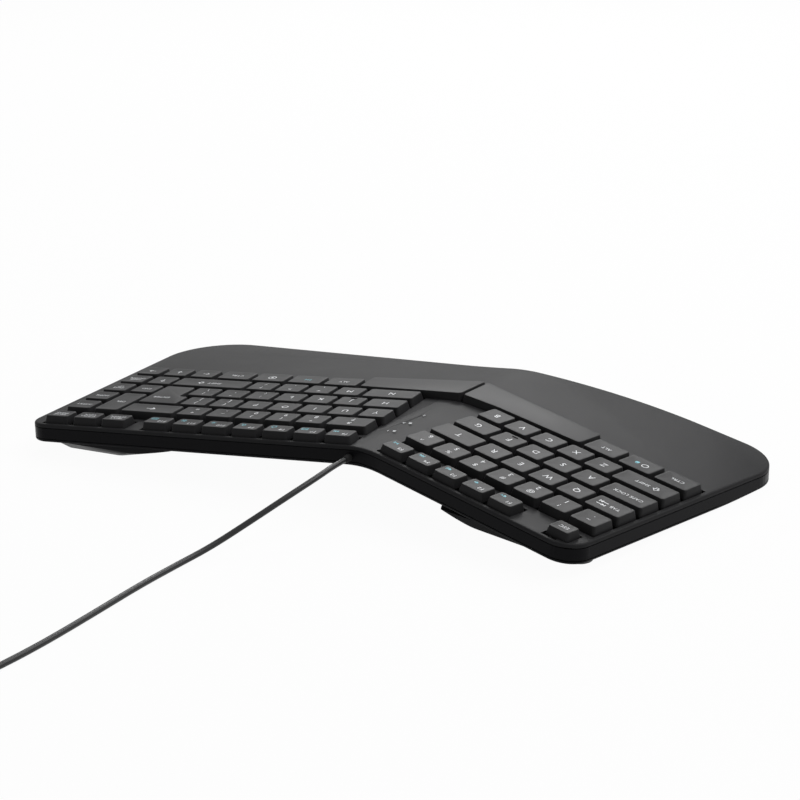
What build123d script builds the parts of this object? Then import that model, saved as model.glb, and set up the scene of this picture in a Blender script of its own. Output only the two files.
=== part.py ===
from build123d import *
import os
from math import atan, cos, degrees, pi, radians, sin, sqrt, tan
from typing import NamedTuple

os.makedirs("parts", exist_ok=True)

# A wired ergonomic keyboard. Millimetres, X to the typist's right, Y away from the typist, Z up.
# The footprint's corners and the key rows are given from a datum on the ridge of the deck, at the
# number row. The model's origin is the middle of the footprint, on the table.

# Driving dimensions of the deck
left_tent = 7.1
right_tent = 4.8
deck_pitch = 1.5
ridge_height = 34.2
ridge_radius = 95.0
rim_radius = 1.3

# Layers of the case, square to the deck
skin = 2.0
band_foot = 9.2
base_foot = 10.9
base_skin = 2.0
wall = 2.0
groove = 0.5
lip_gap = 0.3
lip_foot = 6.0
lip_thickness = 1.2
base_edge = 1.4
root = 0.8

# Heights of the case over the table
table_gap = 1.0
floor_skin = 1.4
band_clear = 2.6

# Key rows
key_pitch = 19.0
key_gap = 3.1
left_turn = 9.5
right_turn = 10.5
cap_width = key_pitch - key_gap
cap_depth = 14.9
cap_spread = 0.95
cap_top = 5.0
cap_foot = -0.8
cap_ceiling = 3.8
cap_wall = 1.2
cap_cut = 1.1
travel = 2.8
function_width = 14.5
function_depth = 10.8
function_row = 20.8

# Space bars: their edges at the outer end along the rows, and at the seam from the datum
seam_place = -1.5
seam_gap = 1.1
bar_far_outer = -69.2
bar_far_bend = -67.6
bar_near_outer = -88.7
bar_far_seam = -87.5
bar_near_seam = -114.2

# Stems and their chimneys
stem = 4.6
stem_foot = -3.4
stem_gap = 0.2
chimney_wall = 1.0
chimney_top = 0.3
guide_reach = 5.5
wide_cap = 25.0

# Layers under the keys
well_gap = 0.8
flange = 1.2
frame_top = -4.2
frame_thickness = 1.2
frame_margin = 2.6
frame_skirt = 1.4
frame_inset = 2.6
ridge_gap = 3.0
sheet_top = -7.2
sheet_thickness = 0.4
membrane_thickness = 0.3
plate_thickness = 0.5
plate_margin = 0.3
dome_height = 0.7
dome_radius = 3.2

# Cable
cable_diameter = 3.2
cable_sides = 6
outlet_x = 5.8
outlet_z = 27.5

# Footprint corners with their radii, from the datum, in order round the case
footprint_corners = [
    ((-4.5, 9.5), 60.0),
    ((-141.2, 31.8), 14.5),
    ((-172.8, -157.3), 29.4),
    ((-63.7, -174.8), 280.0),
    ((19.4, -156.7), 280.0),
    ((242.1, -146.7), 38.0),
    ((208.0, 49.8), 12.0),
]


def draw_footprint(inset=0.0):
    """Draw the case's outline in the sketch under way, moved inwards by inset."""
    points = [corner for corner, radius in footprint_corners]
    radii = [radius for corner, radius in footprint_corners]
    with BuildLine() as outline:
        FilletPolyline(*points, radius=radii, close=True)
    make_face(outline.edges())
    if inset:
        offset(amount=-inset)


with BuildSketch() as footprint:
    draw_footprint()
footprint_box = footprint.sketch.bounding_box()
middle_x = footprint_box.center().X
middle_y = footprint_box.center().Y
ground = Plane(origin=(-middle_x, -middle_y, 0))
print("datum from the origin:", round(-middle_x, 3), round(-middle_y, 3))

# The deck falls away from the ridge on both sides, and rises to the rear
left_fall = tan(radians(left_tent))
right_fall = -tan(radians(right_tent))
deck_rise = tan(radians(deck_pitch))
left_square = sqrt(1 + left_fall**2 + deck_rise**2)
right_square = sqrt(1 + right_fall**2 + deck_rise**2)


def deck_height(x, y):
    """Height of the deck over the table, at a place measured from the datum."""
    fall = left_fall if x < 0 else right_fall
    return ridge_height + fall * x + deck_rise * y


def half_deck(x, y, turn, fall):
    """Plane on one half of the deck, with its X along the key rows."""
    row = Vector(cos(radians(turn)), sin(radians(turn)), 0)
    row = row + Vector(0, 0, fall * row.X + deck_rise * row.Y)
    return Plane(
        origin=(x - middle_x, y - middle_y, deck_height(x, y)),
        x_dir=row,
        z_dir=(-fall, -deck_rise, 1),
    )


# The first key of each half's number row: 134.3 mm left of the ridge, and 46.3 mm right of it
left_deck = half_deck(-134.3, 0.0, -left_turn, left_fall)
right_deck = half_deck(46.3, -11.3, right_turn, right_fall)


def on_deck(deck, x, y):
    """Point of a half's plane over a place measured from the datum, along and up its key rows."""
    foot = Vector(x - middle_x, y - middle_y, 0)
    rise = (deck.origin - foot).dot(deck.z_dir) / deck.z_dir.Z
    point = deck.to_local_coords(foot + Vector(0, 0, rise))
    return (point.X, point.Y)


def layer_point(side, x, drop):
    """Point of a cross-section at the datum's row, drop below the deck, square to it."""
    fall, square = (left_fall, left_square) if side < 0 else (right_fall, right_square)
    return (x, ridge_height + fall * x - drop * square)


def layer_ridge(drop):
    """Point where the two halves of a layer meet, drop below the deck."""
    x = drop * (left_square - right_square) / (left_fall - right_fall)
    return (x, ridge_height + left_fall * x - drop * left_square)


half_width = 300.0
half_length = 300.0
body_top = 80.0
foot_room = 20.0
far_down = 60.0
section_start = Plane(
    origin=(-middle_x, -middle_y - half_length, -half_length * deck_rise),
    x_dir=(1, 0, 0),
    z_dir=(0, -1, 0),
)
section_way = Vector(0, 1, deck_rise)
section_length = 2 * half_length * section_way.length


def deck_slice(upper, lower, inset=0.0, ridge_round=0.0, keel_round=0.0):
    """Slice of the case's footprint from upper to lower below the deck, moved in by inset.

    ridge_round and keel_round are the radii where the two halves meet, above and below.
    """
    upper_line = [layer_point(1, half_width, upper), layer_ridge(upper), layer_point(-1, -half_width, upper)]
    lower_line = [layer_point(-1, -half_width, lower), layer_ridge(lower), layer_point(1, half_width, lower)]
    radii = [0, ridge_round, 0, 0, keel_round, 0]
    with BuildPart() as piece:
        with BuildSketch(ground.offset(-foot_room)):
            draw_footprint(inset)
        extrude(amount=body_top)
        with BuildSketch(section_start):
            with BuildLine() as outline:
                FilletPolyline(*upper_line, *lower_line, radius=radii, close=True)
            make_face(outline.edges())
        extrude(amount=section_length, dir=section_way, mode=Mode.INTERSECT)
    return piece.part


def flat_slab(low, high):
    """Flat slab over the whole table, from low to high."""
    with BuildPart() as slab:
        with Locations((0, 0, low)):
            Box(2 * half_width, 2 * half_length, high - low, align=(Align.CENTER, Align.CENTER, Align.MIN))
    return slab.part


def side_room(side, x):
    """Everything on one side of the upright plane at x from the datum."""
    align_x = Align.MAX if side < 0 else Align.MIN
    with BuildPart() as room:
        with Locations((x - middle_x, 0, 0)):
            Box(2 * half_width, 2 * half_length, 2 * body_top, align=(align_x, Align.CENTER, Align.CENTER))
    return room.part


# Key rows, each a start along the row and its runs of keys: node, width of a cap, how many
function_gap = key_pitch - function_width
row_start = -cap_width / 2
left_rows = [
    (row_start, [("number_keys_left", cap_width, 7)]),
    (row_start, [("tab_key", 22.2, 1), ("upper_letters_left", cap_width, 4), ("t_key", 28.4, 1)]),
    (row_start, [("caps_lock_key", 28.0, 1), ("home_letters_left", cap_width, 4), ("g_key", 22.7, 1)]),
    (row_start, [("shift_key_left", 34.4, 1), ("lower_letters_left", cap_width, 5)]),
    (row_start, [("control_key_left", 20.9, 1), ("system_key", 20.9, 1), ("alt_key_left", 20.9, 1)]),
]
right_rows = [
    (-34.9, [("seven_key", 23.85, 1), ("number_keys_right", cap_width, 5), ("backspace_key", 33.75, 1)]),
    (-37.05, [("upper_letters_right", cap_width, 7)]),
    (-37.05, [("h_key", 21.9, 1), ("home_letters_right", cap_width, 6)]),
    (-37.05, [("n_key", 31.3, 1), ("lower_letters_right", cap_width, 4), ("shift_key_right", 47.45, 1)]),
    (7.8, [("alt_key_right", 20.9, 1), ("menu_key", 20.9, 1), ("symbol_key", 20.9, 1),
           ("control_key_right", 20.9, 1)]),
]
side_width = 15.0
outer_column = 150.2
inner_column = outer_column - key_pitch
rows_end = outer_column + side_width / 2


def spread_row(start, height, depth, gap, runs):
    """Keys of one row: node, middle along the row, middle up the rows, width, depth."""
    keys = []
    edge = start
    for name, width, count in runs:
        for step in range(count):
            keys.append((name, edge + width / 2, height, width, depth))
            edge += width + gap
    return keys


left_keys = spread_row(-7.1, function_row, function_depth, function_gap, [("esc_key", 14.2, 1)])
left_keys += spread_row(31.05, function_row, function_depth, function_gap,
                        [("function_keys_left", function_width, 5)])
right_keys = spread_row(-34.45, function_row, function_depth, function_gap,
                        [("function_keys_right", function_width, 7)])
right_keys += spread_row(107.05, function_row, function_depth, function_gap,
                         [("print_keys", function_width, 3)])
for row, (start, runs) in enumerate(left_rows):
    left_keys += spread_row(start, -row * key_pitch, cap_depth, key_gap, runs)
for row, (start, runs) in enumerate(right_rows):
    right_keys += spread_row(start, -row * key_pitch, cap_depth, key_gap, runs)
right_keys += [
    ("delete_key", inner_column, -key_pitch / 2, side_width, key_pitch + cap_depth),
    ("side_keys", outer_column, 0.0, side_width, cap_depth),
    ("side_keys", outer_column, -key_pitch, side_width, cap_depth),
    ("side_keys", outer_column, -2 * key_pitch, side_width, cap_depth),
    ("side_keys", outer_column, -3 * key_pitch, side_width, cap_depth),
    ("end_key", inner_column, -2 * key_pitch, side_width, cap_depth),
    ("arrow_up_key", inner_column, -3 * key_pitch, side_width, cap_depth),
    ("arrow_left_key", inner_column - key_pitch, -4 * key_pitch, side_width, cap_depth),
    ("arrow_down_key", inner_column, -4 * key_pitch, side_width, cap_depth),
    ("arrow_right_key", outer_column, -4 * key_pitch, side_width, cap_depth),
]

# The tall two-step return key
enter_left = 95.95
enter_waist = 101.95
enter_right = 120.8
enter_far = -key_pitch + cap_depth / 2
enter_step = -key_pitch - cap_depth / 2
enter_near = -2 * key_pitch - cap_depth / 2
enter_outline = [
    (enter_left, enter_far),
    (enter_right, enter_far),
    (enter_right, enter_near),
    (enter_waist, enter_near),
    (enter_waist, enter_step),
    (enter_left, enter_step),
]
enter_middle = (enter_waist + enter_right) / 2
enter_stems = [(enter_middle, -1.5 * key_pitch + lift) for lift in (-11.0, 0.0, 11.0)]


def past(start, end, more):
    """Point on the line from start through end, more beyond the end."""
    way = Vector(*end) - Vector(*start)
    point = Vector(*end) + way.normalized() * more
    return (point.X, point.Y)


# Space bars, each from its outer end to the seam and on past it, where the seam's gap cuts it off
seam_past = 8.0
left_bar_end = 64.0
left_bar_bend = 122.0
right_bar_end = 4.7
right_bar_bend = -38.0
bar_stem_near = 11.0


def bar_outline(deck, outer, bend):
    """Corners of a space bar's top, its inner end moved past the seam."""
    far = past((bend, bar_far_bend), on_deck(deck, seam_place, bar_far_seam), seam_past)
    near = past((outer, bar_near_outer), on_deck(deck, seam_place, bar_near_seam), seam_past)
    return [(outer, bar_far_outer), (bend, bar_far_bend), far, near, (outer, bar_near_outer)]


bar_middle = (bar_far_outer + bar_near_outer) / 2
left_bar = bar_outline(left_deck, left_bar_end, left_bar_bend)
right_bar = bar_outline(right_deck, right_bar_end, right_bar_bend)
left_bar_stems = [(left_bar_end + along, bar_middle) for along in (8.0, 38.0, 68.0)]
right_bar_stems = [(right_bar_end - along, bar_middle) for along in (8.0, 31.0, 54.0)]

# Strips of each half's wells: start and end of the caps along the row, middle and depth up the rows
strip_lap = 0.2
strip_depth = key_pitch + strip_lap
left_strips = [(-7.1, 7.1, function_row, function_depth), (31.05, 121.55, function_row, function_depth)]
right_strips = [(-34.45, 94.05, function_row, function_depth), (107.05, 159.55, function_row, function_depth)]
rows_margin = cap_spread + well_gap
for row, (start, runs) in enumerate(left_rows):
    length = sum((width + key_gap) * count for name, width, count in runs) - key_gap
    left_strips.append((start, start + length, -row * key_pitch, strip_depth - 2 * rows_margin))
for row, (start, runs) in enumerate(right_rows):
    right_strips.append((start, rows_end, -row * key_pitch, strip_depth - 2 * rows_margin))

# Strips that join the lowest letter row's well to the space bar's
join_middle = -3.5 * key_pitch
join_depth = 2.0
left_strips.append((left_bar_end, row_start + 7 * key_pitch - key_gap, join_middle, join_depth))
right_strips.append((right_rows[3][0], right_bar_end, join_middle, join_depth))


class Half(NamedTuple):
    """One half of the keyboard."""

    name: str
    side: int
    deck: Plane
    keys: list
    strips: list
    bar: list
    bar_stems: list


left = Half("left", -1, left_deck, left_keys, left_strips, left_bar, left_bar_stems)
right = Half("right", 1, right_deck, right_keys, right_strips, right_bar, right_bar_stems)
halves = [left, right]


def draw_wells(half, grow):
    """Draw the outline of one half's wells in the sketch under way, moved outwards by grow."""
    margin = 2 * (rows_margin + grow)
    for start, end, height, depth in half.strips:
        with Locations(((start + end) / 2, height)):
            Rectangle(end - start + margin, depth + margin)
    with BuildSketch(mode=Mode.PRIVATE) as bar_well:
        Polygon(*half.bar, align=None)
        offset(amount=margin / 2, kind=Kind.INTERSECTION)
    add(bar_well.sketch)


def well_block(half, upper, lower, grow, limit):
    """Block over one half's wells from upper to lower over the deck, up to an upright plane."""
    with BuildPart() as block:
        with BuildSketch(half.deck.offset(upper)):
            draw_wells(half, grow)
        extrude(amount=lower - upper)
        add(side_room(half.side, limit), mode=Mode.INTERSECT)
    return block.part


def rim_edges(part, way):
    """Edges between a part's upright faces and the faces that look up (way 1) or down (way -1)."""
    flat_faces = part.faces().filter_by(lambda face: face.normal_at().Z * way > 0.9)
    upright_faces = part.faces().filter_by(lambda face: abs(face.normal_at().Z) < 0.1)
    upright_edges = upright_faces.edges()
    return [edge for edge in flat_faces.edges() if any(edge.is_same(other) for other in upright_edges)]


# Fixing posts, light guides, pads and bulges, from the datum
post_places = [(-125.0, -128.0), (-62.0, -145.0), (4.0, -135.0), (75.0, -135.0), (145.0, -125.0), (205.0, -105.0)]
post_meeting = 5.0
boss_radius = 3.2
pilot_radius = 1.1
pilot_depth = 3.0
post_radius = 4.4
screw_radius = 1.5
head_radius = 2.9
head_depth = 2.4
lens_places = [(0.8, -20.5), (1.2, -36.4), (0.8, -52.5)]
lens_radius = 1.6
lens_gap = 0.05
lens_length = 4.0
cut_over = 8.0
ridge_overlap = 1.5
pocket = (1.3, 10.3, -22.0, 9.8)


def cable_room():
    """Room kept clear for the cable's end, from the outlet to its socket."""
    near_x, far_x, near_y, far_y = pocket
    with BuildPart() as room:
        with Locations(((near_x + far_x) / 2 - middle_x, (near_y + far_y) / 2 - middle_y, ridge_height)):
            Box(far_x - near_x, far_y - near_y, 2 * ridge_height)
    return room.part


with BuildPart() as wells:
    for half in halves:
        add(well_block(half, cut_over, frame_top, 0, -half.side * ridge_overlap))

with BuildPart() as flanges:
    for half in halves:
        add(well_block(half, -skin / 2, frame_top, flange, 0))
    add(deck_slice(0, lip_foot, inset=wall + lip_gap), mode=Mode.INTERSECT)

with BuildPart() as lip:
    add(deck_slice(skin / 2, lip_foot, inset=wall + lip_gap))
    add(deck_slice(0, lip_foot + 1, inset=wall + lip_gap + lip_thickness), mode=Mode.SUBTRACT)
    for half in halves:
        add(well_block(half, cut_over, -lip_foot - 1, frame_margin + plate_margin, 0), mode=Mode.SUBTRACT)
    add(cable_room(), mode=Mode.SUBTRACT)

with BuildPart() as top_cover:
    add(deck_slice(0, skin, ridge_round=ridge_radius))
    fillet(rim_edges(top_cover.part, 1), rim_radius)
    add(flanges.part)
    add(lip.part)
    for x, y in post_places:
        boss_foot = deck_height(x, y) - post_meeting
        with Locations((x - middle_x, y - middle_y, boss_foot)):
            Cylinder(boss_radius, post_meeting - skin / 2, align=(Align.CENTER, Align.CENTER, Align.MIN))
            Cylinder(pilot_radius, pilot_depth, align=(Align.CENTER, Align.CENTER, Align.MIN), mode=Mode.SUBTRACT)
    add(wells.part, mode=Mode.SUBTRACT)
    for x, y in lens_places:
        with Locations((x - middle_x, y - middle_y, deck_height(x, y))):
            Cylinder(lens_radius, 2 * cut_over, mode=Mode.SUBTRACT)

with BuildPart() as indicator_lenses:
    for x, y in lens_places:
        with Locations((x - middle_x, y - middle_y, deck_height(x, y) - lens_length)):
            Cylinder(lens_radius - lens_gap, lens_length + 1, align=(Align.CENTER, Align.CENTER, Align.MIN))
    add(deck_slice(0, lens_length + skin, ridge_round=ridge_radius), mode=Mode.INTERSECT)

# Side band, with a groove along its upper and lower edges
grommet_radius = 2.1
grommet_bore = cable_diameter / 2 + 0.05
grommet_flange = 2.2
grommet_flange_thickness = 1.2
grommet_boot = 4.0
grommet_neck = wall + 0.7
fit = 0.05
outlet_y = 11.6
outlet = Plane(origin=(outlet_x - middle_x, outlet_y - middle_y, outlet_z), z_dir=(0, 1, 0))

with BuildPart() as side_band:
    add(deck_slice(skin + groove, band_foot - groove))
    add(deck_slice(skin, band_foot, inset=groove))
    add(deck_slice(0, band_foot + 1, inset=wall), mode=Mode.SUBTRACT)
    add(flat_slab(band_clear, body_top), mode=Mode.INTERSECT)
    add(wells.part, mode=Mode.SUBTRACT)
    with BuildSketch(outlet.offset(-2 * wall)):
        Circle(grommet_radius + fit)
    extrude(amount=4 * wall, mode=Mode.SUBTRACT)

# Base: a shallow tray under the deck, cut off level over the table, with two bulges to stand on
bulges = [
    (-117.0, 3.5, -100.0, 8.0, -9.3),
    (176.0, 22.5, 160.0, 24.0, 10.8),
]
bulge_foot = (44.0, 14.0)
bulge_top = (96.0, 46.0)
bulge_height = 14.0
bulge_skin = 2.0
bulge_inset = 1.0
rear_pad = (34.0, 9.0)
front_pad = (36.0, 9.0)
front_pads = [(-148.0, -126.0, 80.5), (211.0, -115.0, 98.4)]
pad_height = 1.6
pad_pocket = 0.6
pad_gap = 0.2
pads = [(x, y, turn, *rear_pad) for x, y, top_x, top_y, turn in bulges]
pads += [(x, y, turn, *front_pad) for x, y, turn in front_pads]
rib = 1.6
rib_root = root - base_foot
rib_top = sheet_top - sheet_thickness - membrane_thickness - plate_thickness
ribs = {
    "left": [(60.0, -9.5, 110.0, rib), (60.0, -47.5, 110.0, rib), (25.0, -35.0, rib, 75.0), (90.0, -35.0, rib, 75.0)],
    "right": [(60.0, -9.5, 170.0, rib), (60.0, -47.5, 170.0, rib), (15.0, -35.0, rib, 75.0),
              (75.0, -35.0, rib, 75.0), (135.0, -35.0, rib, 75.0)],
}
board_middle = (-1.2, -38.0)
board_size = (14.0, 44.0, 1.6)
board_low = 25.2
board_post = 1.8
board_post_inset = 2.2


def draw_slot(x, y, turn, length, width):
    """Draw a slot in the sketch under way, its middle given from the datum."""
    with Locations((x, y)):
        SlotOverall(length, width, rotation=turn)


def make_bulge(x, y, top_x, top_y, turn):
    """Make one rounded foot under the base, its foot at (x, y) and its spread top at (top_x, top_y)."""
    with BuildPart() as bulge:
        with BuildSketch(ground.offset(table_gap)):
            draw_slot(x, y, turn, *bulge_foot)
        with BuildSketch(ground.offset(bulge_height)):
            draw_slot(top_x, top_y, turn, *bulge_top)
        loft(ruled=True)
    return bulge.part


def make_hollow(x, y, top_x, top_y, turn):
    """Make the room inside one rounded foot, with flat sides."""
    foot_length, foot_width = bulge_foot
    top_length, top_width = bulge_top
    with BuildPart() as hollow:
        with BuildSketch(ground.offset(table_gap + bulge_skin)):
            with Locations((x, y)):
                Rectangle(foot_length - foot_width, foot_width - 2 * bulge_skin, rotation=turn)
        with BuildSketch(ground.offset(bulge_height)):
            with Locations((top_x, top_y)):
                Rectangle(top_length - top_width, top_width - 3 * bulge_skin, rotation=turn)
        loft(ruled=True)
    return hollow.part


with BuildPart() as bulge_blocks:
    for place in bulges:
        add(make_bulge(*place))
    add(deck_slice(base_foot - base_skin / 2, far_down, inset=bulge_inset), mode=Mode.INTERSECT)

with BuildPart() as hollows:
    for place in bulges:
        add(make_hollow(*place))
    add(deck_slice(base_foot - base_skin, far_down, inset=wall + bulge_inset), mode=Mode.INTERSECT)

with BuildPart() as low_rim:
    add(deck_slice(skin, base_foot, keel_round=ridge_radius))
    fillet(rim_edges(low_rim.part, -1), base_edge)
    add(flat_slab(table_gap, band_clear), mode=Mode.INTERSECT)

with BuildPart() as cavity:
    add(deck_slice(-cut_over, base_foot - base_skin, inset=wall))
    add(flat_slab(table_gap + floor_skin, body_top), mode=Mode.INTERSECT)

with BuildPart() as bottom_cover:
    add(deck_slice(band_foot, base_foot, keel_round=ridge_radius))
    fillet(rim_edges(bottom_cover.part, -1), base_edge)
    add(flat_slab(table_gap, body_top), mode=Mode.INTERSECT)
    add(low_rim.part)
    add(bulge_blocks.part)
    add(cavity.part, mode=Mode.SUBTRACT)
    add(hollows.part, mode=Mode.SUBTRACT)
    for half in halves:
        with BuildSketch(half.deck.offset(rib_root)):
            for along, up, length, depth in ribs[half.name]:
                with Locations((along, up)):
                    Rectangle(length, depth)
        extrude(amount=rib_top - rib_root)
    for x, y in post_places:
        post_foot = max(deck_height(x, y) - base_foot + root, table_gap + floor_skin / 2)
        post_top = deck_height(x, y) - post_meeting
        with Locations((x - middle_x, y - middle_y, post_foot)):
            Cylinder(post_radius, post_top - post_foot, align=(Align.CENTER, Align.CENTER, Align.MIN))
            Cylinder(screw_radius, 2 * post_meeting, mode=Mode.SUBTRACT)
            Cylinder(head_radius, 2 * head_depth, mode=Mode.SUBTRACT)
    for side_x in (-1, 1):
        for side_y in (-1, 1):
            x = board_middle[0] + side_x * (board_size[0] / 2 - board_post_inset)
            y = board_middle[1] + side_y * (board_size[1] / 2 - board_post_inset)
            post_foot = deck_height(x, y) - base_foot + root
            with Locations((x - middle_x, y - middle_y, post_foot)):
                Cylinder(board_post, board_low - post_foot, align=(Align.CENTER, Align.CENTER, Align.MIN))
    with BuildSketch(ground.offset(table_gap - 1)):
        for x, y, turn, length, width in pads:
            draw_slot(x, y, turn, length + 2 * pad_gap, width + 2 * pad_gap)
    extrude(amount=1 + pad_pocket, mode=Mode.SUBTRACT)

with BuildPart() as rubber_feet:
    with BuildSketch(ground):
        for x, y, turn, length, width in pads:
            draw_slot(x, y, turn, length, width)
    extrude(amount=pad_height)

# Key caps
cap_taper = degrees(atan(cap_spread / (cap_top - cap_foot)))


def rectangle_corners(width, depth):
    """Corners of a rectangle round the origin."""
    return [(-width / 2, -depth / 2), (width / 2, -depth / 2), (width / 2, depth / 2), (-width / 2, depth / 2)]


def cut_corners(corners, cut):
    """Corners with each one cut off straight."""
    points = [Vector(*corner) for corner in corners]
    result = []
    for before, point, after in zip(points[-1:] + points[:-1], points, points[1:] + points[:1]):
        result.append(point + (before - point).normalized() * cut)
        result.append(point + (after - point).normalized() * cut)
    return result


def draw_cap(corners, grow):
    """Draw the outline of a cap's top with cut corners in the sketch under way, moved out by grow."""
    Polygon(*cut_corners(corners, cap_cut), align=None)
    offset(amount=grow, kind=Kind.INTERSECTION)


def make_cap(corners, stems, plane=Plane.XY, side=0, limit=0.0):
    """Make one hollow cap with its stems on a plane, cut off at limit if it has a seam side."""
    with BuildPart() as hollow:
        with BuildSketch(plane.offset(cap_foot)):
            draw_cap(corners, cap_spread - cap_wall)
        extrude(amount=cap_ceiling - cap_foot, taper=cap_taper)
        if side:
            add(side_room(side, limit + side * cap_wall), mode=Mode.INTERSECT)
    with BuildPart() as cap:
        with BuildSketch(plane.offset(cap_foot)):
            draw_cap(corners, cap_spread)
        extrude(amount=cap_top - cap_foot, taper=cap_taper)
        if side:
            add(side_room(side, limit), mode=Mode.INTERSECT)
        add(hollow.part, mode=Mode.SUBTRACT)
        with BuildSketch(plane.offset(stem_foot)):
            with Locations(*stems):
                Rectangle(stem, stem)
        extrude(amount=cap_ceiling - stem_foot)
    return cap.part


def stem_places(width, depth):
    """Places of a cap's stem, and of its two guides if it is wide or tall, round its middle."""
    if width > wide_cap:
        reach = width / 2 - guide_reach
        return [(0, 0), (-reach, 0), (reach, 0)]
    if depth > wide_cap:
        reach = depth / 2 - guide_reach
        return [(0, 0), (0, -reach), (0, reach)]
    return [(0, 0)]


pieces = {}
shapes = {}
for half in halves:
    for name in dict.fromkeys(key[0] for key in half.keys):
        with BuildPart() as caps:
            for key_name, along, up, width, depth in half.keys:
                if key_name != name:
                    continue
                if (width, depth) not in shapes:
                    shapes[width, depth] = make_cap(rectangle_corners(width, depth), stem_places(width, depth))
                with Locations(half.deck.location * Location((along, up, 0))):
                    add(shapes[width, depth])
        pieces[name] = caps.part
    seam = seam_place + half.side * seam_gap / 2
    pieces[f"space_bar_{half.name}"] = make_cap(half.bar, half.bar_stems, half.deck, half.side, seam)
pieces["enter_key"] = make_cap(enter_outline, enter_stems, right_deck)

# Key frames with a chimney round each stem, switch sheets and backing plates
chimney = stem + 2 * stem_gap
chimney_outer = chimney + 2 * chimney_wall
membrane_top = sheet_top - sheet_thickness
plate_top = membrane_top - membrane_thickness
frame_foot = frame_top - frame_thickness


def all_stems(half):
    """Places of every stem and guide of one half."""
    places = list(half.bar_stems)
    for name, along, up, width, depth in half.keys:
        places += [(along + across, up + over) for across, over in stem_places(width, depth)]
    if half.side > 0:
        places += enter_stems
    return places


def half_layer(half, upper, lower, grow, inset):
    """Layer under one half's keys, kept inside the case and clear of the ridge and the cable."""
    with BuildPart() as layer:
        add(well_block(half, upper, lower, grow, half.side * ridge_gap))
        add(deck_slice(0, base_foot, inset=inset), mode=Mode.INTERSECT)
        add(cable_room(), mode=Mode.SUBTRACT)
    return layer.part


for half in halves:
    stems = all_stems(half)
    with BuildPart() as key_frame:
        add(half_layer(half, frame_top, sheet_top, frame_margin, frame_inset))
        add(
            half_layer(half, frame_foot, sheet_top, frame_margin - frame_skirt, frame_inset + frame_skirt),
            mode=Mode.SUBTRACT,
        )
        with BuildSketch(half.deck.offset(frame_foot)):
            with Locations(*stems):
                Rectangle(chimney_outer, chimney_outer)
        extrude(amount=chimney_top - frame_foot)
        with BuildSketch(half.deck.offset(frame_foot)):
            with Locations(*stems):
                Rectangle(chimney, chimney)
        extrude(amount=chimney_top - frame_foot, mode=Mode.SUBTRACT)
    pieces[f"key_frame_{half.name}"] = key_frame.part
    with BuildPart() as dome_sheet:
        add(half_layer(half, sheet_top, membrane_top, frame_margin - plate_margin, frame_inset + plate_margin))
        with BuildSketch(half.deck.offset(sheet_top)):
            with Locations(*stems):
                RegularPolygon(dome_radius, 6)
        extrude(amount=dome_height, taper=45)
    pieces[f"dome_sheet_{half.name}"] = dome_sheet.part
    inner = (frame_margin - plate_margin, frame_inset + plate_margin)
    pieces[f"membrane_{half.name}"] = half_layer(half, membrane_top, plate_top, *inner)
    pieces[f"backing_plate_{half.name}"] = half_layer(half, plate_top, rib_top, *inner)

# Board under the ridge, with its lamps, chip, socket and the short lead to the outlet
board_chip = (6.0, 6.0, 1.2)
board_lamp = (2.0, 1.2, 0.8)
socket_size = (4.8, 5.0, 5.0)
chip_shift = 3.5
socket_y = -16.0
cable_start_y = 6.0

with BuildPart() as controller_board:
    with Locations((board_middle[0] - middle_x, board_middle[1] - middle_y, board_low)):
        Box(*board_size, align=(Align.CENTER, Align.CENTER, Align.MIN))
    board_top = board_low + board_size[2]
    for x, y in lens_places:
        with Locations((x - middle_x, y - middle_y, board_top)):
            Box(*board_lamp, align=(Align.CENTER, Align.CENTER, Align.MIN))
    with Locations((board_middle[0] - middle_x - chip_shift, board_middle[1] - middle_y, board_top)):
        Box(*board_chip, align=(Align.CENTER, Align.CENTER, Align.MIN))
    with Locations((outlet_x - middle_x, socket_y - middle_y, board_low)):
        Box(*socket_size, align=(Align.CENTER, Align.MAX, Align.MIN))
    with BuildSketch(Plane(origin=(outlet_x - middle_x, socket_y - middle_y, outlet_z), z_dir=(0, 1, 0))):
        Circle(cable_diameter / 2)
    extrude(amount=cable_start_y - socket_y)

with BuildPart() as cable_grommet:
    with BuildSketch(outlet.offset(-grommet_neck)):
        Circle(grommet_radius)
    extrude(amount=grommet_neck)
    with BuildSketch(outlet):
        Circle(grommet_radius)
    extrude(amount=grommet_boot, taper=3)
    with BuildSketch(outlet.offset(-grommet_neck)):
        Circle(grommet_flange)
    extrude(amount=-grommet_flange_thickness)
    with BuildSketch(outlet.offset(-2 * wall)):
        Circle(grommet_bore)
    extrude(amount=4 * wall, mode=Mode.SUBTRACT)

# Cable: the free stretch from the outlet to the coil, its points measured from the datum
cable_points = [
    (5.8, 6.0, 27.5),
    (5.8, 21.0, 27.5),
    (5.6, 39.0, 25.6),
    (9.5, 60.0, 20.8),
    (17.4, 82.0, 12.6),
    (25.8, 103.0, 4.4),
    (29.8, 126.0, 1.6),
    (29.0, 154.0, 1.6),
    (26.0, 190.0, 1.6),
    (23.6, 228.0, 1.6),
    (24.2, 260.0, 1.7),
    (26.25, 281.0, 2.7),
    (26.25, 296.8, 2.7),
]


bend_share = 0.45


def bend_radii(points):
    """Radius of the arc at each inner point: the arc takes bend_share of the shorter run beside it."""
    radii = []
    for before, point, after in zip(points, points[1:], points[2:]):
        way_in = Vector(*point) - Vector(*before)
        way_out = Vector(*after) - Vector(*point)
        half_turn = radians(way_in.get_angle(way_out)) / 2
        radii.append(bend_share * min(way_in.length, way_out.length) / tan(half_turn))
    return radii


def cable_place(x, y, z):
    """Place in the model of a point measured from the datum."""
    return Vector(x - middle_x, y - middle_y, z)


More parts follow.
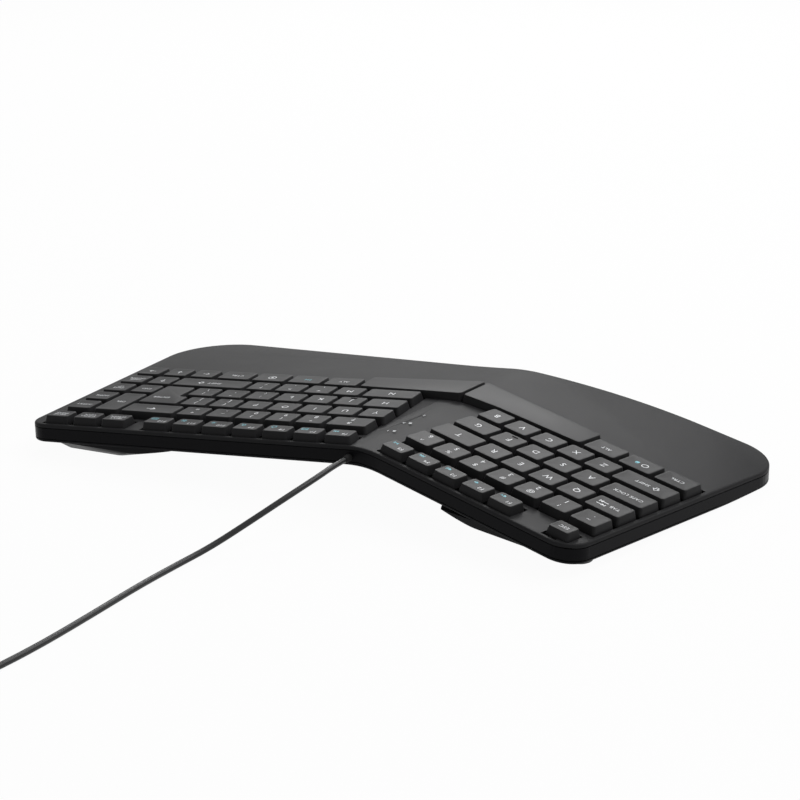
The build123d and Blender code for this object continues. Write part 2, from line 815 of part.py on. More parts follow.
cable_radii = bend_radii(cable_points)
with BuildPart() as usb_cable:
    with BuildLine() as cable_line:
        FilletPolyline(*[cable_place(*point) for point in cable_points], radius=cable_radii)
    with BuildSketch(Plane(origin=cable_line.line @ 0, z_dir=cable_line.line % 0)):
        RegularPolygon(cable_diameter / 2, cable_sides)
    sweep()
print("bend radii:", [round(radius, 1) for radius in cable_radii])
cable_length = sum(edge.length for edge in cable_line.edges())
print("free stretch:", round(cable_length, 1))

# Coil: four layers of turns that spiral in and out, made of half circles
coil_middle = 5.67 * cable_diameter
coil_pitch = 4.3
coil_step = coil_pitch / 2
layer_halves = [6, 6, 6, 5]
coil_outer = coil_middle + layer_halves[0] / 2 * coil_step
coil_x = cable_points[-1][0] + coil_outer
coil_y = cable_points[-1][1] + cable_diameter
coil_height = cable_points[-1][2]


def coil_stations():
    """Ends of the coil's half turns: distance from its middle, and height, in order along the cable."""
    reach = coil_outer
    height = coil_height
    stations = [(reach, height)]
    way = -1
    for layer, count in enumerate(layer_halves):
        if layer:
            height += coil_pitch
            stations.append((reach, height))
        for half_turn in range(count):
            reach += way * coil_step
            stations.append((reach, height))
        way = -way
    return stations


stations = coil_stations()
coil_side = -1
coil_points = []
for reach, height in stations:
    coil_points.append(cable_place(coil_x + coil_side * reach, coil_y, height))
    coil_side = -coil_side
coil_lead = Vector(0, cable_diameter, 0)
tail_straight = 14.0
tail_slope_end = 34.0
tail_end = 46.0
plug_height = 3.9
tail_drop = plug_height - stations[-1][1]
tail_points = [
    coil_points[-1],
    coil_points[-1] + Vector(0, tail_straight, 0),
    coil_points[-1] + Vector(0, tail_slope_end, tail_drop),
    coil_points[-1] + Vector(0, tail_end, tail_drop),
]
tail_radii = bend_radii(tail_points)

with BuildPart() as usb_cable_coil:
    with BuildLine() as coil_line:
        Line(coil_points[0] - coil_lead, coil_points[0])
        side_way = 1
        for start, end in zip(coil_points, coil_points[1:]):
            radius = (end - start).length / 2
            ThreePointArc(start, (start + end) / 2 + Vector(0, side_way * radius, 0), end)
            side_way = -side_way
        FilletPolyline(*tail_points, radius=tail_radii)
    with BuildSketch(Plane(origin=coil_line.line @ 0, z_dir=coil_line.line % 0)):
        RegularPolygon(cable_diameter / 2, cable_sides)
    sweep()
coil_length = sum(edge.length for edge in coil_line.edges())
print("coil and tail:", round(coil_length, 1), "whole cable:", round(cable_length + coil_length, 1))
coil_section = cable_sides / 2 * (cable_diameter / 2) ** 2 * sin(radians(360 / cable_sides))
print("coil volume over section times length:", round(usb_cable_coil.part.volume / coil_section / coil_length, 3))
print("free stretch volume ratio:", round(usb_cable.part.volume / coil_section / cable_length, 3))

# Least gap of the coil to itself, between points along it that lie more than half a turn apart
probe_step = 1.5
probe_count = round(coil_length / probe_step)
probes = [coil_line.line @ (number / probe_count) for number in range(probe_count + 1)]
probe_apart = round(pi * coil_middle / probe_step)
least = min(
    (probes[first] - probes[second]).length
    for first in range(0, probe_count + 1)
    for second in range(first + probe_apart, probe_count + 1)
)
print("least gap of the coil to itself:", round(least - cable_diameter, 2))

# Plug on the table at the cable's end
plug_start = tail_points[-1]
plug_body = (12.4, 7.8, 24.0)
plug_edge = 1.6
plug_relief = 10.0
plug_relief_radius = 3.2
plug_relief_wall = 0.6
shell_size = (12.0, 4.5, 12.0)
shell_wall = 0.35
tongue_size = (10.4, 1.9, 11.0)
tongue_drop = 0.9
window = 2.2
relief_plane = Plane(origin=plug_start, z_dir=(0, 1, 0))
body_plane = relief_plane.offset(plug_relief)
shell_plane = body_plane.offset(plug_body[2])

with BuildPart() as usb_plug_body:
    with BuildSketch(body_plane):
        RectangleRounded(plug_body[0], plug_body[1], plug_edge)
    extrude(amount=plug_body[2])
    with BuildSketch(relief_plane):
        Circle(cable_diameter / 2 + plug_relief_wall)
    with BuildSketch(body_plane):
        Circle(plug_relief_radius)
    loft()
    with BuildSketch(shell_plane):
        with Locations((0, -tongue_drop)):
            Rectangle(tongue_size[0], tongue_size[1])
    extrude(amount=tongue_size[2])

with BuildPart() as usb_plug_shell:
    with BuildSketch(shell_plane):
        Rectangle(shell_size[0], shell_size[1])
        Rectangle(shell_size[0] - 2 * shell_wall, shell_size[1] - 2 * shell_wall, mode=Mode.SUBTRACT)
    extrude(amount=shell_size[2])
    for across in (-1, 1):
        with Locations(shell_plane.location * Location((across * shell_size[0] / 4, 0, shell_size[2] / 2))):
            Box(window, 2 * shell_size[1], window, mode=Mode.SUBTRACT)

# Tie round one side of the coil
tie_gap = 0.3
tie_thickness = 0.8
tie_width = 5.0
coil_inner = coil_outer - max(layer_halves) * coil_step
coil_top = max(height for reach, height in stations)
tie_inner = coil_inner - cable_diameter / 2 - 2 * tie_gap
tie_outer = coil_outer + cable_diameter / 2 + tie_gap
tie_low = coil_height - cable_diameter / 2 - tie_gap
tie_high = coil_top + cable_diameter / 2 + tie_gap
tie_middle = cable_place(coil_x + (tie_inner + tie_outer) / 2, coil_y, (tie_low + tie_high) / 2)

with BuildPart() as cable_tie:
    with Locations(tie_middle):
        Box(tie_outer - tie_inner + 2 * tie_thickness, tie_width, tie_high - tie_low + 2 * tie_thickness)
        Box(tie_outer - tie_inner, 2 * tie_width, tie_high - tie_low, mode=Mode.SUBTRACT)

pieces["controller_board"] = controller_board.part
pieces["cable_grommet"] = cable_grommet.part
pieces["usb_cable"] = usb_cable.part
pieces["usb_cable_coil"] = usb_cable_coil.part
pieces["usb_plug_body"] = usb_plug_body.part
pieces["usb_plug_shell"] = usb_plug_shell.part
pieces["cable_tie"] = cable_tie.part
pieces["top_cover"] = top_cover.part
pieces["side_band"] = side_band.part
pieces["bottom_cover"] = bottom_cover.part
pieces["indicator_lenses"] = indicator_lenses.part
pieces["rubber_feet"] = rubber_feet.part

for name, piece in pieces.items():
    piece.label = name
    export_step(piece, f"parts/{name}.step")
    print(name, len(piece.solids()), round(piece.volume), piece.is_valid)
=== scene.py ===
"""Looks of a wired ergonomic keyboard: case, key caps with their printing, indicator marks, lead and plug.

Every length below is in millimetres from the datum on the ridge of the deck, at the number row, and
becomes metres in the frame's own axes just before it goes into a mesh.
"""

import logging
import math
from dataclasses import dataclass, field
from enum import Enum
from typing import Sequence

import bmesh
import bpy
import numpy as np
from mathutils import Matrix, Vector


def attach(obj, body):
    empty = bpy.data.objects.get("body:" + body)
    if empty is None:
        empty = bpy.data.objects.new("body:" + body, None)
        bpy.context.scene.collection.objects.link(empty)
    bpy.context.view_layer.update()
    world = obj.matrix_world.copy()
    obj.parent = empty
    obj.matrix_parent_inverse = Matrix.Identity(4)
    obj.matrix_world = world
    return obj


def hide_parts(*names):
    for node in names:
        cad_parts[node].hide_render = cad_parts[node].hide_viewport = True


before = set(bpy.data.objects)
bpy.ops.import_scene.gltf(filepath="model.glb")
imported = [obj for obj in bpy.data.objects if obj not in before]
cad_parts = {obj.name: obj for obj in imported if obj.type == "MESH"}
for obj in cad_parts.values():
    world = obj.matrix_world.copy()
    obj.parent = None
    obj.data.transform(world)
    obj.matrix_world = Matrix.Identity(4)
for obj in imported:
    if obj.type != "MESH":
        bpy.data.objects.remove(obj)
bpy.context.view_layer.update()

log = logging.getLogger("keyboard")

METRE = 0.001
DATUM = np.array([-33.478, 61.108, 0.0])
KEY_PITCH = 19.0
KEY_GAP = 3.1
CAP_WIDTH = KEY_PITCH - KEY_GAP
CAP_DEPTH = 14.9
FUNCTION_WIDTH = 14.5
FUNCTION_DEPTH = 10.8
FUNCTION_ROW = 20.8
FUNCTION_GAP = KEY_PITCH - FUNCTION_WIDTH
SIDE_WIDTH = 15.0
OUTER_COLUMN = 150.2
INNER_COLUMN = OUTER_COLUMN - KEY_PITCH
RIDGE_HEIGHT = 34.2
DECK_RISE = math.tan(math.radians(1.5))
LETTER_MARK = (0.0, -0.4)
MODIFIER_WIDTH = 20.9
WORD_HEIGHT = 2.5
SIDE_WORD_HEIGHT = 2.2
SIDE_SIGN_HEIGHT = 4.6
CAPITAL_SHARE = 0.73
LINE_SPACING = 0.95
LETTER_SPACING = 1.06
CASE = "case"


class Paint(Enum):
    """Colours of the printing on the caps and the deck."""

    WHITE = (0.78, 0.80, 0.82)
    TEAL = (0.10, 0.46, 0.55)


# Finishes


@dataclass(frozen=True)
class Plastic:
    """A moulded finish: a colour, its gloss, a fine grain and a slow change of tone and gloss.

    The grain's size and depth and the width of the softened edge are in millimetres. The tone is the
    share by which the colour changes, and the clouds are that change's scale over a metre.
    """

    name: str
    colour: tuple[float, float, float]
    roughness: float
    grain_size: float = 0.35
    grain_depth: float = 0.02
    tone: float = 0.12
    specular: float = 0.5
    edge: float = 0.25
    clouds: float = 40.0
    gloss_change: float = 0.04
    bump: float = 0.6

    def material(self) -> bpy.types.Material:
        """Make the material, or give the one already made.

        Returns:
            The material of this finish.
        """
        made = bpy.data.materials.get(self.name)
        if made:
            return made
        material = bpy.data.materials.new(self.name)
        material.use_nodes = True
        nodes, links = material.node_tree.nodes, material.node_tree.links
        shader = nodes["Principled BSDF"]
        shader.inputs["Specular IOR Level"].default_value = self.specular
        place = nodes.new("ShaderNodeTexCoord").outputs["Object"]
        grain = nodes.new("ShaderNodeTexNoise")
        grain.inputs["Scale"].default_value = 1.0 / (self.grain_size * METRE)
        grain.inputs["Detail"].default_value = 3.0
        links.new(place, grain.inputs["Vector"])
        cloud = nodes.new("ShaderNodeTexNoise")
        cloud.inputs["Scale"].default_value = self.clouds
        cloud.inputs["Detail"].default_value = 4.0
        links.new(place, cloud.inputs["Vector"])
        colour = nodes.new("ShaderNodeMix")
        colour.data_type = "RGBA"
        colour.inputs["A"].default_value = (*(c * (1 - self.tone) for c in self.colour), 1)
        colour.inputs["B"].default_value = (*(c * (1 + self.tone) for c in self.colour), 1)
        links.new(cloud.outputs["Fac"], colour.inputs["Factor"])
        links.new(colour.outputs["Result"], shader.inputs["Base Color"])
        gloss = nodes.new("ShaderNodeMapRange")
        gloss.inputs["To Min"].default_value = self.roughness - self.gloss_change
        gloss.inputs["To Max"].default_value = self.roughness + self.gloss_change
        links.new(cloud.outputs["Fac"], gloss.inputs["Value"])
        links.new(gloss.outputs["Result"], shader.inputs["Roughness"])
        bump = nodes.new("ShaderNodeBump")
        bump.inputs["Distance"].default_value = self.grain_depth * METRE
        bump.inputs["Strength"].default_value = self.bump
        links.new(grain.outputs["Fac"], bump.inputs["Height"])
        if self.edge:
            bevel = nodes.new("ShaderNodeBevel")
            bevel.samples = 4
            bevel.inputs["Radius"].default_value = self.edge * METRE
            links.new(bevel.outputs["Normal"], bump.inputs["Normal"])
        links.new(bump.outputs["Normal"], shader.inputs["Normal"])
        return material


@dataclass(frozen=True)
class Metal:
    """A plated or plain metal with fine scratches along one axis."""

    name: str
    colour: tuple[float, float, float]
    roughness: float
    along: float = 0.05
    scratches: float = 4000.0
    gloss_share: float = 0.3

    def material(self) -> bpy.types.Material:
        """Make the material, or give the one already made.

        Returns:
            The material of this finish.
        """
        made = bpy.data.materials.get(self.name)
        if made:
            return made
        material = bpy.data.materials.new(self.name)
        material.use_nodes = True
        nodes, links = material.node_tree.nodes, material.node_tree.links
        shader = nodes["Principled BSDF"]
        shader.inputs["Base Color"].default_value = (*self.colour, 1)
        shader.inputs["Metallic"].default_value = 1.0
        stretch = nodes.new("ShaderNodeMapping")
        stretch.inputs["Scale"].default_value = (1.0, self.along, 1.0)
        scratch = nodes.new("ShaderNodeTexNoise")
        scratch.inputs["Scale"].default_value = self.scratches
        gloss = nodes.new("ShaderNodeMapRange")
        gloss.inputs["To Min"].default_value = self.roughness * (1 - self.gloss_share)
        gloss.inputs["To Max"].default_value = self.roughness * (1 + self.gloss_share)
        links.new(nodes.new("ShaderNodeTexCoord").outputs["Object"], stretch.inputs["Vector"])
        links.new(stretch.outputs["Vector"], scratch.inputs["Vector"])
        links.new(scratch.outputs["Fac"], gloss.inputs["Value"])
        links.new(gloss.outputs["Result"], shader.inputs["Roughness"])
        return material


DECK = Plastic("deck_plastic", (0.024, 0.024, 0.025), 0.42, grain_size=0.4, grain_depth=0.03, specular=0.04)
BAND = Plastic("band_plastic", (0.006, 0.006, 0.007), 0.28, grain_size=0.3, grain_depth=0.006, specular=0.05)
BASE = Plastic("base_plastic", (0.006, 0.006, 0.007), 0.42, grain_size=0.4, specular=0.05)
CAP = Plastic("cap_plastic", (0.022, 0.022, 0.023), 0.38, grain_size=0.3, specular=0.07, edge=0.0)
INNER = Plastic("inner_plastic", (0.008, 0.008, 0.008), 0.55, specular=0.1)
RUBBER = Plastic("pad_rubber", (0.015, 0.015, 0.015), 0.75, grain_size=0.6, grain_depth=0.04, specular=0.2)
JACKET = Plastic(
    "jacket", (0.022, 0.022, 0.023), 0.38, grain_size=0.5, grain_depth=0.01, specular=0.3, edge=0.0
)
SILICONE = Plastic("silicone", (0.62, 0.62, 0.58), 0.5)
FILM = Plastic("film", (0.45, 0.50, 0.47), 0.3)
BOARD = Plastic("board", (0.02, 0.14, 0.06), 0.4)
STEEL = Metal("plate_steel", (0.56, 0.57, 0.58), 0.35)
NICKEL = Metal("shell_nickel", (0.70, 0.70, 0.69), 0.22)


def print_finish(paint: Paint) -> bpy.types.Material:
    """Material of the printing in one colour.

    Args:
        paint: the colour.

    Returns:
        The material.
    """
    name = f"print_{paint.name.lower()}"
    return Plastic(name, paint.value, 0.5, grain_depth=0.005, tone=0.06, edge=0.0).material()


# The deck's two halves and general mesh helpers


@dataclass(frozen=True)
class Half:
    """One half of the deck, whose plane carries the key rows.

    A place on it is (along the rows, up the rows, over the deck).
    """

    name: str
    first_key: tuple[float, float]
    turn: float
    fall: float

    def axes(self) -> np.ndarray:
        """Unit vectors of the half.

        Returns:
            Three rows: along the key rows, up the key rows, and square to the deck.
        """
        square = np.array([-self.fall, -DECK_RISE, 1.0])
        square /= np.linalg.norm(square)
        turn = math.radians(self.turn)
        row = np.array([math.cos(turn), math.sin(turn), 0.0])
        row[2] = self.fall * row[0] + DECK_RISE * row[1]
        row /= np.linalg.norm(row)
        return np.array([row, np.cross(square, row), square])

    def origin(self) -> np.ndarray:
        """The half's first number key on the deck, from the datum."""
        x, y = self.first_key
        return np.array([x, y, RIDGE_HEIGHT + self.fall * x + DECK_RISE * y])

    def place(self, points: np.ndarray) -> np.ndarray:
        """Points of the half in the frame, in metres.

        Args:
            points: places on the half, one a row.

        Returns:
            The same points in the frame.
        """
        return (points @ self.axes() + self.origin() + DATUM) * METRE

    def on_deck(self, x: float, y: float) -> np.ndarray:
        """Place along and up the rows of the point of the deck over (x, y) from the datum."""
        point = np.array([x, y, RIDGE_HEIGHT + self.fall * x + DECK_RISE * y])
        return (self.axes() @ (point - self.origin()))[:2]


LEFT = Half("left", (-134.3, 0.0), -9.5, math.tan(math.radians(7.1)))
RIGHT = Half("right", (46.3, -11.3), 10.5, -math.tan(math.radians(4.8)))


def add_piece(name: str, points: np.ndarray, faces: Sequence, material: bpy.types.Material,
              smooth: float = 35.0) -> bpy.types.Object:
    """Put a mesh into the scene.

    Args:
        name: the piece's name.
        points: its points in the frame, in metres.
        faces: its faces, each a list of point numbers.
        material: its finish.
        smooth: the edge angle in degrees up to which it shades smooth.

    Returns:
        The object.
    """
    mesh = bpy.data.meshes.new(name)
    mesh.from_pydata(points.tolist(), [], [list(face) for face in faces])
    mesh.materials.append(material)
    mesh.polygons.foreach_set("use_smooth", np.ones(len(mesh.polygons), bool))
    mesh.set_sharp_from_angle(angle=math.radians(smooth))
    mesh.update()
    piece = bpy.data.objects.new(name, mesh)
    bpy.context.scene.collection.objects.link(piece)
    return piece


def rounded_loop(corners: np.ndarray, inset: float, radius: float, steps: int) -> np.ndarray:
    """Closed outline with rounded corners, moved inwards.

    Each corner moves along the bisector so that both its sides move in by inset. It is then drawn as a
    quadratic curve whose middle control point is the corner, and whose ends lie radius away from it.

    Args:
        corners: the outline's corners, anticlockwise.
        inset: how far the sides move in; a negative value moves them out.
        radius: length that the rounding takes from each side of a corner.
        steps: how many pieces each rounding has.

    Returns:
        The outline's points.
    """
    ahead = np.roll(corners, -1, axis=0) - corners
    ahead /= np.linalg.norm(ahead, axis=1, keepdims=True)
    inward = np.stack([-ahead[:, 1], ahead[:, 0]], axis=1)
    before = np.roll(inward, 1, axis=0)
    share = 1 + np.sum(inward * before, axis=1, keepdims=True)
    moved = corners + inset * (inward + before) / share
    start = moved - np.roll(ahead, 1, axis=0) * radius
    end = moved + ahead * radius
    t = np.linspace(0, 1, steps + 1)[None, :, None]
    curve = (1 - t) ** 2 * start[:, None] + 2 * t * (1 - t) * moved[:, None] + t**2 * end[:, None]
    return curve.reshape(-1, 2)


def ring_faces(rings: int, count: int) -> np.ndarray:
    """Four-sided faces between rings of points that are stacked in order.

    Args:
        rings: number of rings.
        count: points in each ring.

    Returns:
        The faces, whose outer side is outwards when each next ring is higher.
    """
    ring, step = np.meshgrid(np.arange(rings - 1), np.arange(count), indexing="ij")
    low = ring * count + step
    low_next = ring * count + (step + 1) % count
    return np.stack([low, low_next, low_next + count, low + count], axis=-1).reshape(-1, 4)


def closed_faces(rings: int, count: int) -> list:
    """Faces of a closed stack of rings: those between the rings, and one at each end.

    Args:
        rings: number of rings.
        count: points in each ring.

    Returns:
        The faces.
    """
    last = (rings - 1) * count
    ends = [list(range(count))[::-1], list(range(last, last + count))]
    return ring_faces(rings, count).tolist() + ends


def stacked(name: str, loops: Sequence[np.ndarray], material: bpy.types.Material) -> bpy.types.Object:
    """A closed piece made of rings of points joined in order.

    Args:
        name: the piece's name.
        loops: its rings from the datum, each with as many points.
        material: its finish.

    Returns:
        The object.
    """
    points = (np.concatenate(loops) + DATUM) * METRE
    return add_piece(name, points, closed_faces(len(loops), len(loops[0])), material, smooth=40.0)


def joined(parts: Sequence[tuple[np.ndarray, list]]) -> tuple[np.ndarray, list]:
    """Several meshes as one.

    Args:
        parts: each mesh's points and faces.

    Returns:
        The points of all of them, and the faces with their point numbers moved on.
    """
    starts = np.cumsum([0] + [len(points) for points, _ in parts]).tolist()
    faces = [
        [start + number for number in face]
        for start, (_, own_faces) in zip(starts, parts)
        for face in own_faces
    ]
    return np.concatenate([points for points, _ in parts]), faces


def rectangle(width: float, depth: float) -> np.ndarray:
    """Corners of a rectangle round the origin, anticlockwise."""
    return np.array([[-width, -depth], [width, -depth], [width, depth], [-width, depth]]) / 2


def flat_text(words: str, height: float) -> tuple[np.ndarray, list]:
    """Words as flat faces round the origin.

    Args:
        words: what is printed, its lines parted by a line break.
        height: height of its capitals.

    Returns:
        The points in the plane, and the faces.
    """
    curve = bpy.data.curves.new("words", "FONT")
    curve.body = words
    curve.size = height / CAPITAL_SHARE
    curve.space_line = LINE_SPACING
    curve.space_character = LETTER_SPACING
    curve.align_x = "CENTER"
    curve.resolution_u = 3
    carrier = bpy.data.objects.new("words", curve)
    mesh = bpy.data.meshes.new_from_object(carrier)
    points = np.empty(len(mesh.vertices) * 3)
    mesh.vertices.foreach_get("co", points)
    faces = [list(polygon.vertices) for polygon in mesh.polygons]
    bpy.data.objects.remove(carrier)
    bpy.data.meshes.remove(mesh)
    flat = points.reshape(-1, 3)[:, :2]
    lift = height / 2 - words.count("\n") * LINE_SPACING * curve.size / 2
    bpy.data.curves.remove(curve)
    return flat - np.array([0.0, lift]), faces


# Signs drawn with strokes


def arc(x: float, y: float, radius: float, start: float, end: float, steps: int = 14) -> tuple:
    """Points on an arc round (x, y) from one angle to another, in degrees."""
    angle = np.radians(np.linspace(start, end, steps + 1))
    return tuple(zip((x + radius * np.cos(angle)).tolist(), (y + radius * np.sin(angle)).tolist()))


@dataclass(frozen=True)
class Stroke:
    """One line of a sign in a square one unit wide: open, closed, or filled."""

    points: tuple
    closed: bool = False
    filled: bool = False

    def mesh(self, width: float) -> tuple[np.ndarray, list]:
        """The stroke as flat faces.

        A line becomes a band. Each of its points moves square to both its runs by half the width, that
        is along the sum of the runs' normals over one plus the cosine between them, so the band keeps
        its width round corners. A filled stroke is one face.

        Args:
            width: width of the band.

        Returns:
            The points in the plane, and the faces.
        """
        line = np.array(self.points)
        count = len(line)
        if self.filled:
            after = np.roll(line, -1, axis=0)
            turned = np.sum(line[:, 0] * after[:, 1] - line[:, 1] * after[:, 0]) < 0
            return (line[::-1] if turned else line), [list(range(count))]
        ahead = np.roll(line, -1, axis=0) - line
        if not self.closed:
            ahead[-1] = ahead[-2]
        ahead /= np.linalg.norm(ahead, axis=1, keepdims=True)
        behind = np.roll(ahead, 1, axis=0)
        if not self.closed:
            behind[0] = ahead[0]
        way = ahead + behind
        side = np.stack([-way[:, 1], way[:, 0]], axis=1) / (1 + np.sum(ahead * behind, axis=1, keepdims=True))
        points = np.concatenate([line - side * width / 2, line + side * width / 2])
        low = np.arange(count if self.closed else count - 1)
        high = (low + 1) % count
        return points, np.stack([low, high, high + count, low + count], axis=1).tolist()


SPEAKER = Stroke(
    ((-0.5, -0.14), (-0.3, -0.14), (-0.06, -0.34), (-0.06, 0.34), (-0.3, 0.14), (-0.5, 0.14)), filled=True
)
NEAR_WAVE = Stroke(arc(-0.1, 0.0, 0.26, -50, 50, 6))
FAR_WAVE = Stroke(arc(-0.1, 0.0, 0.48, -48, 48, 8))
SMALL_SUN = Stroke(arc(0.0, 0.0, 0.17, 0, 336, 14), closed=True)
WIDE_FRAME = Stroke(((-0.5, -0.34), (0.5, -0.34), (0.5, 0.34), (-0.5, 0.34)), closed=True)
HOLLOW_ARROW = Stroke((
    (-0.17, -0.42), (0.17, -0.42), (0.17, -0.02), (0.4, -0.02), (0.0, 0.44), (-0.4, -0.02), (-0.17, -0.02),
), closed=True)


def rays(inner: float, outer: float) -> tuple[Stroke, ...]:
    """Eight short lines round a sun.

    Args:
        inner: distance from the middle at which they start.
        outer: distance at which they end.

    Returns:
        The lines.
    """
    ways = [(math.cos(turn), math.sin(turn)) for turn in np.radians(45.0 * np.arange(8))]
    return tuple(Stroke(((inner * x, inner * y), (outer * x, outer * y))) for x, y in ways)


def triangle(x: float, way: float) -> Stroke:
    """A filled triangle whose flat side is at x and whose tip points the given way."""
    return Stroke(((x, -0.3), (x + 0.4 * way, 0.0), (x, 0.3)), filled=True)


def upright_line(x: float) -> Stroke:
    """An upright line at x, as tall as the triangles."""
    return Stroke(((x, -0.3), (x, 0.3)))


def level_line(left: float, right: float) -> Stroke:
    """A level line through the middle."""
    return Stroke(((left, 0.0), (right, 0.0)))


def arrow(turn: float) -> tuple[Stroke, ...]:
    """An arrow.

    Args:
        turn: its turn in degrees from pointing to the right.

    Returns:
        Its shaft and its head.
    """
    way = math.radians(turn)
    axes = np.array([(math.cos(way), math.sin(way)), (-math.sin(way), math.cos(way))])
    shaft = np.array([(-0.45, 0.0), (0.36, 0.0)]) @ axes
    head = np.array([(0.1, 0.32), (0.45, 0.0), (0.1, -0.32)]) @ axes
    return Stroke(tuple(map(tuple, shaft))), Stroke(tuple(map(tuple, head)))


class Sign(Enum):
    """Signs on caps and deck, each a set of strokes."""

    MUTE = (SPEAKER, Stroke(((0.12, -0.17), (0.46, 0.17))), Stroke(((0.12, 0.17), (0.46, -0.17))))
    QUIETER = (SPEAKER, NEAR_WAVE)
    LOUDER = (SPEAKER, NEAR_WAVE, FAR_WAVE)
    BACK = (triangle(0.42, -1), triangle(0.02, -1), upright_line(-0.44))
    PLAY = (triangle(-0.42, 1), upright_line(0.14), upright_line(0.38))
    NEXT = (triangle(-0.42, 1), triangle(-0.02, 1), upright_line(0.44))
    MAIL = (WIDE_FRAME, Stroke(((-0.45, 0.28), (0.0, -0.08), (0.45, 0.28))))
    HOME = (
        Stroke(((-0.5, 0.02), (0.0, 0.46), (0.5, 0.02))),
        Stroke(((-0.33, 0.08), (-0.33, -0.42), (0.33, -0.42), (0.33, 0.08))),
    )
    SEARCH = (Stroke(arc(-0.1, 0.1, 0.3, 0, 342, 18), closed=True), Stroke(((0.12, -0.12), (0.44, -0.44))))
    DIMMER = (SMALL_SUN, *rays(0.3, 0.38))
    BRIGHTER = (SMALL_SUN, *rays(0.28, 0.48))
    SUMS = (
        WIDE_FRAME, level_line(-0.28, -0.04), Stroke(((-0.16, -0.12), (-0.16, 0.12))), level_line(0.1, 0.32),
    )
    LOCK = (
        Stroke(((-0.32, -0.42), (0.32, -0.42), (0.32, 0.08), (-0.32, 0.08)), filled=True),
        Stroke(arc(0.0, 0.08, 0.2, 0, 180, 8)),
    )
    RING = (Stroke(arc(0.0, 0.0, 0.4, 0, 350, 36), closed=True),)
    DOTTED_RING = (
        Stroke(arc(0.0, 0.0, 0.42, 0, 350, 36), closed=True),
        Stroke(arc(0.0, 0.0, 0.15, 0, 340, 18), filled=True),
    )
    RIGHT = arrow(0)
    UP = arrow(90)
    LEFT = arrow(180)
    DOWN = arrow(270)
    HOLLOW_UP = (HOLLOW_ARROW,)
    TABS = (
        Stroke(((0.5, 0.3), (-0.32, 0.3))),
        Stroke(((-0.12, 0.14), (-0.36, 0.3), (-0.12, 0.46))),
        Stroke(((-0.5, 0.12), (-0.5, 0.48))),
        Stroke(((-0.5, -0.3), (0.32, -0.3))),
        Stroke(((0.12, -0.46), (0.36, -0.3), (0.12, -0.14))),
        Stroke(((0.5, -0.48), (0.5, -0.12))),
    )

    def mesh(self, size: float, line: float = 0.1) -> tuple[np.ndarray, list]:
        """The sign as flat faces.

        Args:
            size: side of the square it fills.
            line: width of its lines as a share of the size.

        Returns:
            The points in the plane, and the faces.
        """
        points, faces = joined([stroke.mesh(line) for stroke in self.value])
        return points * size, faces


# Key caps


@dataclass(frozen=True)
class Mark:
    """One word or sign printed on a cap, its place from the cap's middle, its height and its colour."""

    drawn: str | Sign
    across: float = 0.0
    up: float = 0.0
    height: float = 4.0
    paint: Paint = Paint.WHITE

    def mesh(self) -> tuple[np.ndarray, list]:
        """The mark as flat faces at its place on the cap.

        Returns:
            The points in the plane, and the faces.
        """
        if isinstance(self.drawn, Sign):
            flat, faces = self.drawn.mesh(self.height)
        else:
            flat, faces = flat_text(self.drawn, self.height)
        return flat + np.array([self.across, self.up]), faces


@dataclass
class Key:
    """One cap: the body it moves with, its half, its middle and size on the deck, and its printing."""

    node: str
    half: Half
    along: float
    up: float
    width: float
    depth: float
    marks: list[Mark] = field(default_factory=list)

    def place(self, points: np.ndarray) -> np.ndarray:
        """Points from the cap's middle on the deck, in the frame."""
        return self.half.place(points + np.array([self.along, self.up, 0.0]))


